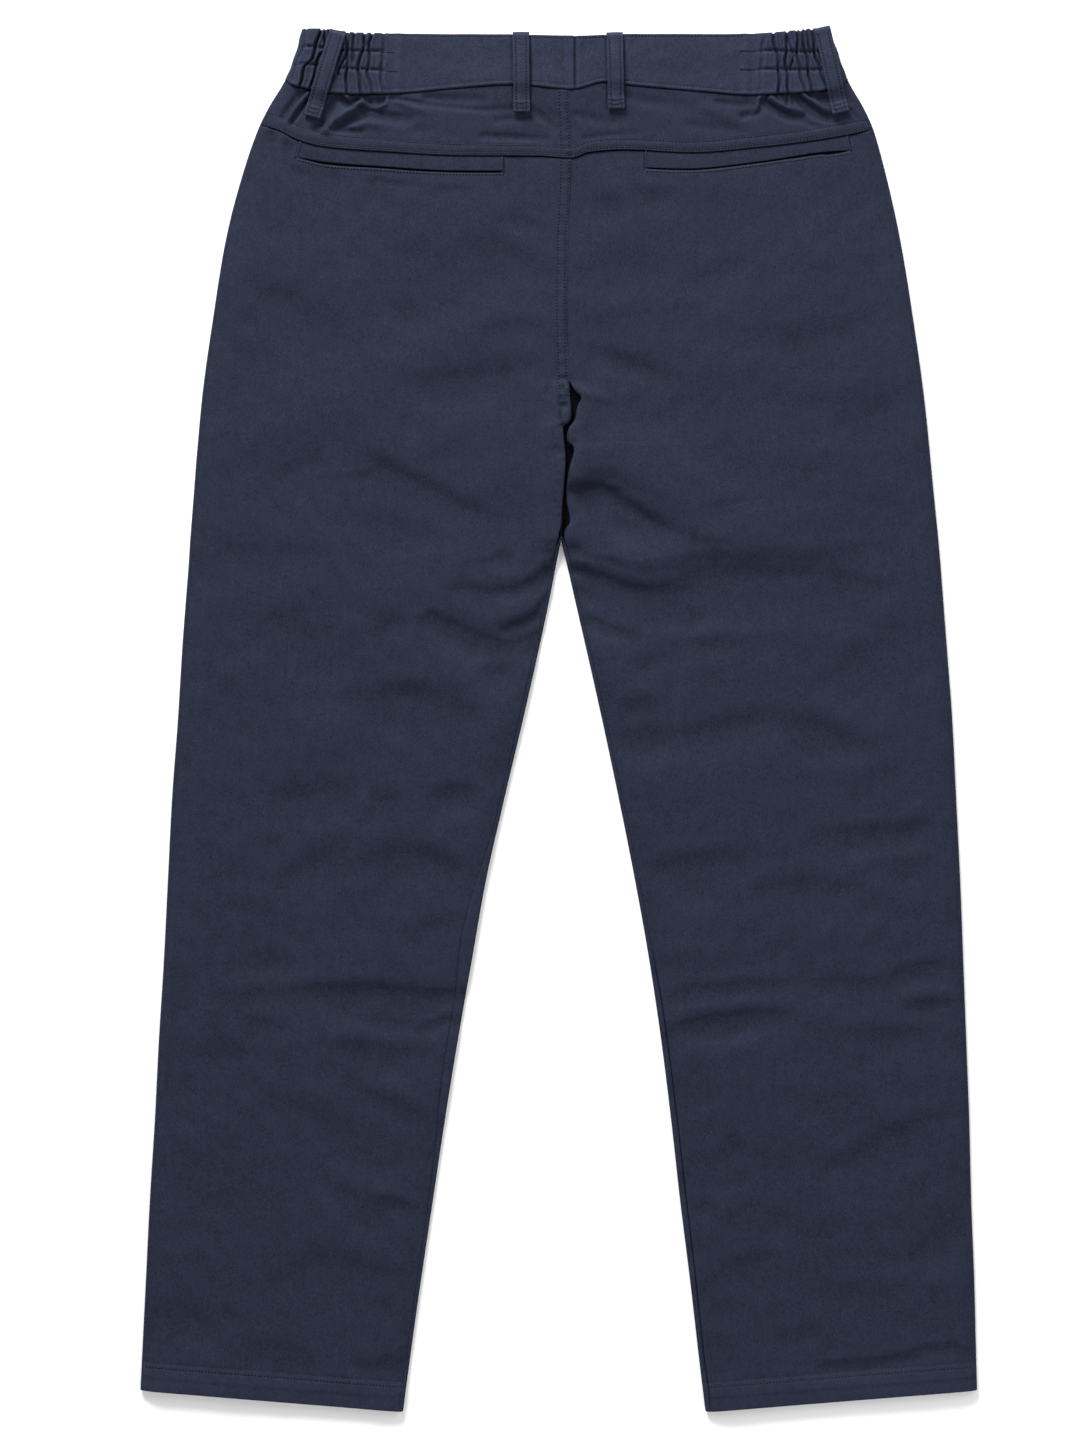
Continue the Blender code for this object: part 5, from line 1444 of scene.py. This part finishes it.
def band_rows(side, face):
    """Rows along both edges of the plain waistband and over the elastic, each with its backstitch."""
    start, stop = BAND_BACK_SEAM_X + side * BAND_ROW_INS[0], GATHER_STARTS[side] - side * BAND_ROW_INS[1]
    rows = [
        stitch_row(line_across(start, stop, lambda x: waist_top(x) + BAND_STITCH_IN), face),
        stitch_row(line_across(start, stop, lambda x: waist_seam(x) - BAND_STITCH_UP), face),
    ]
    for row in ELASTIC_ROWS[side]:
        xs, downs = np.array(sorted(row), float).T
        first, last = row[0][0], row[-1][0]
        elastic = line_across(first, last, lambda x: np.interp(x, xs, downs))
        back = line_across(
            first, first + side * BACKSTITCH_LENGTH, lambda x: np.interp(x, xs, downs) + BACKSTITCH_APART
        )
        rows += [stitch_row(elastic, face, ELASTIC_PITCH), stitch_row(back, face, BACKSTITCH_PITCH)]
    return rows


def yoke_rows(side, face):
    """Both rows of topstitching along the yoke's lower edge."""
    start = CENTRE_X + side * YOKE_ROW_INS[0]
    stop = OUTER[side](YOKE_ROW_SIDE_DOWN) - side * YOKE_ROW_INS[1]
    return [
        stitch_row(line_across(start, stop, lambda x: yoke_seam(x) - YOKE_LOWER_ROW), face),
        stitch_row(line_across(start, stop, lambda x: yoke_seam(x) - yoke_upper_row(x)), face),
    ]


def below_mouth(side, x):
    """Where the row of stitching below a pocket's mouth runs."""
    return mouth_down(side, x) + MOUTH_GAPE[side](x) + MOUTH_STITCH_OUT


def pocket_rows(side, face):
    """The row below a pocket's mouth, and the short rows that close its two ends."""
    x_outer, x_inner = WELT_ENDS[side]
    outer, inner = x_outer + side * 2 * WELT_SIDE, x_inner - side * 2 * WELT_SIDE
    lean = side * WELT_LEAN[side] / 2
    rows = [stitch_row(line_across(outer, inner, lambda x: below_mouth(side, x)), face)]
    for x, shift in ((outer, lean), (inner, 0.0)):
        line = [(x - shift, yoke_seam(x) + SHORT_ROW_IN), (x + shift, below_mouth(side, x))]
        rows.append(stitch_row(line, face, SHORT_PITCH))
    return rows


def loop_rows(place, face):
    """Both edge rows of a back belt loop, and the bars that hold its foot."""
    top, length, along_loop, across = loop_frame(*place)
    edge = across * LOOP_STITCH_OUT
    start, stop = top + along_loop * LOOP_ROW_INS[0], top + along_loop * (length - LOOP_ROW_INS[1])
    lines = [(start - edge, stop - edge), (start + edge, stop + edge)]
    rows = [stitch_row(line, face, LOOP_PITCH) for line in lines]
    for back in LOOP_BARS:
        foot = top + along_loop * (length - back)
        rows.append(stitch_row([foot - edge, foot + edge], face, SHORT_PITCH))
    return rows


def front_loop_rows(side, face):
    """Both edge rows of a front belt loop, on the face that lies on the surface."""
    rows = []
    for shift in (-LOOP_STITCH_OUT, LOOP_STITCH_OUT):
        x = CENTRE_X + side * FRONT_LOOP_FROM_CENTRE + shift
        rows.append(stitch_row([(x, down) for down in FRONT_LOOP_ROW], face, LOOP_PITCH, -1))
    return rows


def front_rows(side, face):
    """Rows under the front: the waistband's edges, the hem and the fly."""
    start, stop = CENTRE_X + side * FRONT_ROW_INS[0], OUTER[side](20.0) - side * FRONT_ROW_INS[1]
    lines = [
        line_across(start, stop, lambda x: waist_top(x) + BAND_STITCH_IN + 0.6),
        line_across(start, stop, lambda x: front_seam(x) - BAND_STITCH_IN),
        hem_row(side),
    ]
    if side == LEFT:
        first, last = FRONT_SEAM_AT_CENTRE + FLY_ROW_INS[0], FLY_ENDS - FLY_ROW_INS[1]
        lines.append(line_down(first, last, lambda down: INNER[LEFT](down) - fly_line(down)))
    return [stitch_row(line, face, facing=-1) for line in lines]


def stitch_all(pieces, looks):
    """Every visible row of stitching, laid on the finished cloth."""
    def surface(wanted, facing=1):
        return surface_of([piece for name, piece in pieces.items() if wanted(name)], facing)

    top = surface(lambda name: "front" not in name and "loop" not in name)
    loops = surface(lambda name: "loop_back" in name or "loop_side" in name)
    below = surface(lambda name: "front" in name or "band" in name, -1)
    rows = {name: [] for name in ("waistband", "yoke", "centre_seam", "pockets", "hems", "loops", "front")}
    for side in SIDES:
        rows["waistband"] += band_rows(side, top)
        rows["yoke"] += yoke_rows(side, top)
        rows["pockets"] += pocket_rows(side, top)
        rows["hems"].append(stitch_row(hem_row(side), top))
        rows["loops"] += front_loop_rows(side, below)
        rows["front"] += front_rows(side, below)
    for row in FELL_STITCH_ROWS:
        line = line_down(*FELL_ROW_SPAN, lambda down: INNER[LEFT](down) - row)
        rows["centre_seam"].append(stitch_row(line, top))
    for _, *place in BACK_LOOPS:
        rows["loops"] += loop_rows(place, loops)
    for name in rows:
        stitches = make_stitches("stitches_" + name, rows[name], looks)


class Look:
    """A new material, with short calls for its nodes. An input's value is a constant or a socket to link."""

    def __init__(self, name):
        self.material = bpy.data.materials.new(name)
        self.material.use_nodes = True
        self.nodes = self.material.node_tree.nodes
        self.links = self.material.node_tree.links
        self.shader = self.nodes["Principled BSDF"]
        self.place = self.nodes.new("ShaderNodeTexCoord").outputs["Object"]

    def feed(self, node, inputs):
        """Gives a node's inputs their values or links."""
        for name, value in inputs.items():
            if isinstance(value, bpy.types.NodeSocket):
                self.links.new(value, node.inputs[name])
            else:
                node.inputs[name].default_value = value

    def add(self, kind, inputs, **settings):
        """A new node with these settings and inputs."""
        node = self.nodes.new("ShaderNode" + kind)
        for name, value in settings.items():
            setattr(node, name, value)
        self.feed(node, inputs)
        return node

    def noise(self, scale, detail=2.0, stretch=(1, 1, 1)):
        """A noise on the object's own coordinates, in cycles per metre."""
        mapping = self.add("Mapping", {"Vector": self.place, "Scale": stretch})
        inputs = {"Vector": mapping.outputs["Vector"], "Scale": scale, "Detail": detail}
        return self.add("TexNoise", inputs).outputs["Fac"]

    def mixed(self, factor, low, high, low_at=0.0, high_at=1.0):
        """A value that runs from low to high as the factor runs from low_at to high_at."""
        inputs = {"Value": factor, "From Min": low_at, "From Max": high_at, "To Min": low, "To Max": high}
        return self.add("MapRange", inputs).outputs["Result"]

    def combined(self, operation, first, second):
        """The result of a sum or a product."""
        return self.add("Math", {0: first, 1: second}, operation=operation).outputs["Value"]

    def tint(self, colour, shade):
        """Gives the surface its colour, made lighter or darker by the shade."""
        tinted = self.add("VectorMath", {0: colour, "Scale": shade}, operation="SCALE")
        self.feed(self.shader, {"Base Color": tinted.outputs["Vector"]})

    def bump(self, height, strength, distance, **under):
        """The surface's normal over a relief, laid over another normal where one is given."""
        inputs = {"Height": height, "Strength": strength, "Distance": distance, **under}
        return self.add("Bump", inputs).outputs["Normal"]


def make_twill(name, colour, sheen):
    """Cotton twill: diagonal ribs with uneven yarns, soft mottling, paler worn high places and painted shade
    darkening its creases and hollows.
    """
    look = Look(name)
    turn = look.add("Mapping", {"Vector": look.place, "Rotation": (0.0, 0.0, math.radians(RIB_ANGLE))})
    rib_inputs = {"Scale": 340.0, "Distortion": 1.4, "Detail": 1.0, "Detail Scale": 0.6}
    rib_inputs["Vector"] = turn.outputs["Vector"]
    rib = look.add("TexWave", rib_inputs, wave_type="BANDS", bands_direction="X").outputs["Fac"]
    yarn = look.noise(700.0, 2.0, (1.0, 0.5, 1.0))
    fleck = look.noise(1150.0, 1.0)
    slubs = look.noise(260.0, 2.0, (1.0, 0.15, 1.0))
    mottle = look.noise(150.0, 4.0)
    cloud = look.noise(13.0, 2.0)
    paleness_and_crease_shade = look.add("Attribute", {}, attribute_name="paleness_and_crease_shade").outputs["Fac"]

    shade = look.mixed(rib, -0.12, 0.12)
    for factor, reach in ((yarn, 0.20), (fleck, 0.40), (slubs, 0.06), (mottle, 0.11), (cloud, 0.05)):
        shade = look.combined("ADD", shade, look.mixed(factor, -reach, reach, 0.25, 0.75))
    # Paler on high places, as wear, and darker in creases and hollows, as painted shade
    shade = look.combined("ADD", shade, look.mixed(paleness_and_crease_shade, -0.14, 0.26, -0.3, 0.3))
    look.tint(colour, look.combined("ADD", shade, 1.0))

    relief = look.combined("MULTIPLY", rib, 0.5)
    relief = look.combined("ADD", relief, look.combined("MULTIPLY", yarn, 0.7))
    weave = look.bump(relief, 0.35, 0.00016)
    look.feed(look.shader, {
        "Normal": look.bump(mottle, 0.5, 0.0005, Normal=weave),
        "Roughness": look.mixed(yarn, 0.72, 0.88),
        "Sheen Weight": sheen,
        "Sheen Roughness": 0.4,
        "Sheen Tint": SHEEN_TINT,
        "Specular IOR Level": 0.11,
    })
    return look.material


def make_thread(name, colour):
    """Sewing thread: two twisted plies, a little paler than the cloth; made near black, it paints the shade
    of needle holes.
    """
    look = Look(name)
    fibres = look.noise(1800.0, 1.0)
    patches = look.noise(120.0, 1.0)
    patchy = look.mixed(patches, -0.15, 0.15, 0.3, 0.7)
    look.tint(colour, look.combined("ADD", look.mixed(fibres, 0.75, 1.2, 0.3, 0.7), patchy))
    look.feed(look.shader, {
        "Normal": look.bump(fibres, 0.4, 0.0001),
        "Roughness": look.mixed(fibres, 0.45, 0.65),
        "Sheen Weight": 0.02,
        "Specular IOR Level": 0.16,
    })
    return look.material


def make_button_look():
    """Moulded navy plastic with a faint marbling and fine scratches."""
    look = Look("button_moulded")
    swirl = look.noise(160.0, 3.0, (1.0, 0.4, 1.0))
    scratch = look.noise(900.0, 2.0, (1.0, 0.1, 1.0))
    look.tint(BUTTON_NAVY, look.mixed(swirl, 0.7, 1.4, 0.3, 0.7))
    look.feed(look.shader, {
        "Normal": look.bump(scratch, 0.15, 0.0001),
        "Roughness": look.mixed(scratch, 0.3, 0.5),
    })
    return look.material


def make_floor():
    """The plain pale surface that the trousers lie on."""
    mesh = bpy.data.meshes.new("floor")
    around = ((-1, -1), (1, -1), (1, 1), (-1, 1))
    corners = [(x * FLOOR_REACH, y * FLOOR_REACH, -FLOOR_BELOW) for x, y in around]
    mesh.from_pydata(corners, [], [(0, 1, 2, 3)])
    look = Look("pale_floor")
    look.feed(look.shader, {"Base Color": FLOOR_WHITE, "Roughness": 0.9, "Specular IOR Level": 0.0})
    mesh.materials.append(look.material)
    floor = bpy.data.objects.new("floor", mesh)
    bpy.context.scene.collection.objects.link(floor)


def make_light():
    """A large soft key from beyond the waist, two weak fills and an even pale surround."""
    world = bpy.data.worlds.new("studio")
    bpy.context.scene.world = world
    world.use_nodes = True
    background = world.node_tree.nodes["Background"]
    background.inputs["Color"].default_value = (1.0, 1.0, 1.0, 1.0)
    background.inputs["Strength"].default_value = SURROUND
    for name, place, target, size, power in LIGHTS:
        light = bpy.data.lights.new(name, "AREA")
        light.shape = "DISK"
        light.size = size
        light.energy = power
        lamp = bpy.data.objects.new(name, light)
        lamp.location = place
        lamp.rotation_euler = (Vector(target) - Vector(place)).to_track_quat("-Z", "Y").to_euler()
        bpy.context.scene.collection.objects.link(lamp)


def make_camera():
    """Straight above the garment, far enough away to see it without distortion."""
    camera = bpy.data.cameras.new("camera")
    camera.lens = LENS
    camera.sensor_width = SENSOR
    camera.clip_end = CAMERA_SEES
    obj = bpy.data.objects.new("camera", camera)
    obj.location = (CAMERA_X * MM, CAMERA_Y * MM, FRAME_HEIGHT * LENS / SENSOR * MM)
    bpy.context.scene.collection.objects.link(obj)
    bpy.context.scene.camera = obj


def declare(node):
    """Hides the solid that a cloth piece stands for."""
    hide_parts(node)


def main():
    """Makes every look and piece, hides the solid that each stands for, and sets the floor, light and camera.
    """
    looks = {
        "twill": make_twill("twill", NAVY, 0.032),
        "band": make_twill("band_twill", BAND_NAVY, 0.04),
        # The cloth's inner faces, the seams' gaps and the pockets' mouths: near black, painted shade
        "inside": make_twill("twill_painted_shade", SHADE_PAINTED_NAVY, 0.0),
        "thread": make_thread("thread", THREAD_NAVY),
        # Discs of painted shade for the needle holes
        "hole": make_thread("needle_hole_shade", HOLE_SHADE_NAVY),
    }
    pieces = {}
    for side in SIDES:
        name = SIDE_NAME[side]
        for make, node, slot, flat, rests_on, area in (
            (make_front, "front_panel_" + name, "navy_twill", (300, 1010), [], 0.26),
            (make_back, "back_panel_" + name, "navy_twill", (300, 960), ["front_panel_" + name], 0.26),
            (make_yoke, "yoke_" + name, "navy_twill", (245, 55), ["back_panel_" + name], None),
            (make_waistband, "waistband_" + name, "waistband_twill", (430, 46), [], None),
            (make_welt, "pocket_welt_" + name, "navy_twill", (155, 13), ["back_panel_" + name], None),
            (make_front_loop, "belt_loop_front_" + name, "waistband_twill", (12, 56), [], None),
        ):
            pieces[node] = make(side, looks)
            declare(node)
    for node, *place in BACK_LOOPS:
        pieces[node] = make_back_loop(node, place, looks)
        declare(node)
    stitch_all(pieces, looks)
    button_look = make_button_look()
    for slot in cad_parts["waist_button"].material_slots:
        slot.material = button_look
    make_floor()
    make_light()
    make_camera()
    bpy.context.scene.view_settings.view_transform = "Standard"


main()
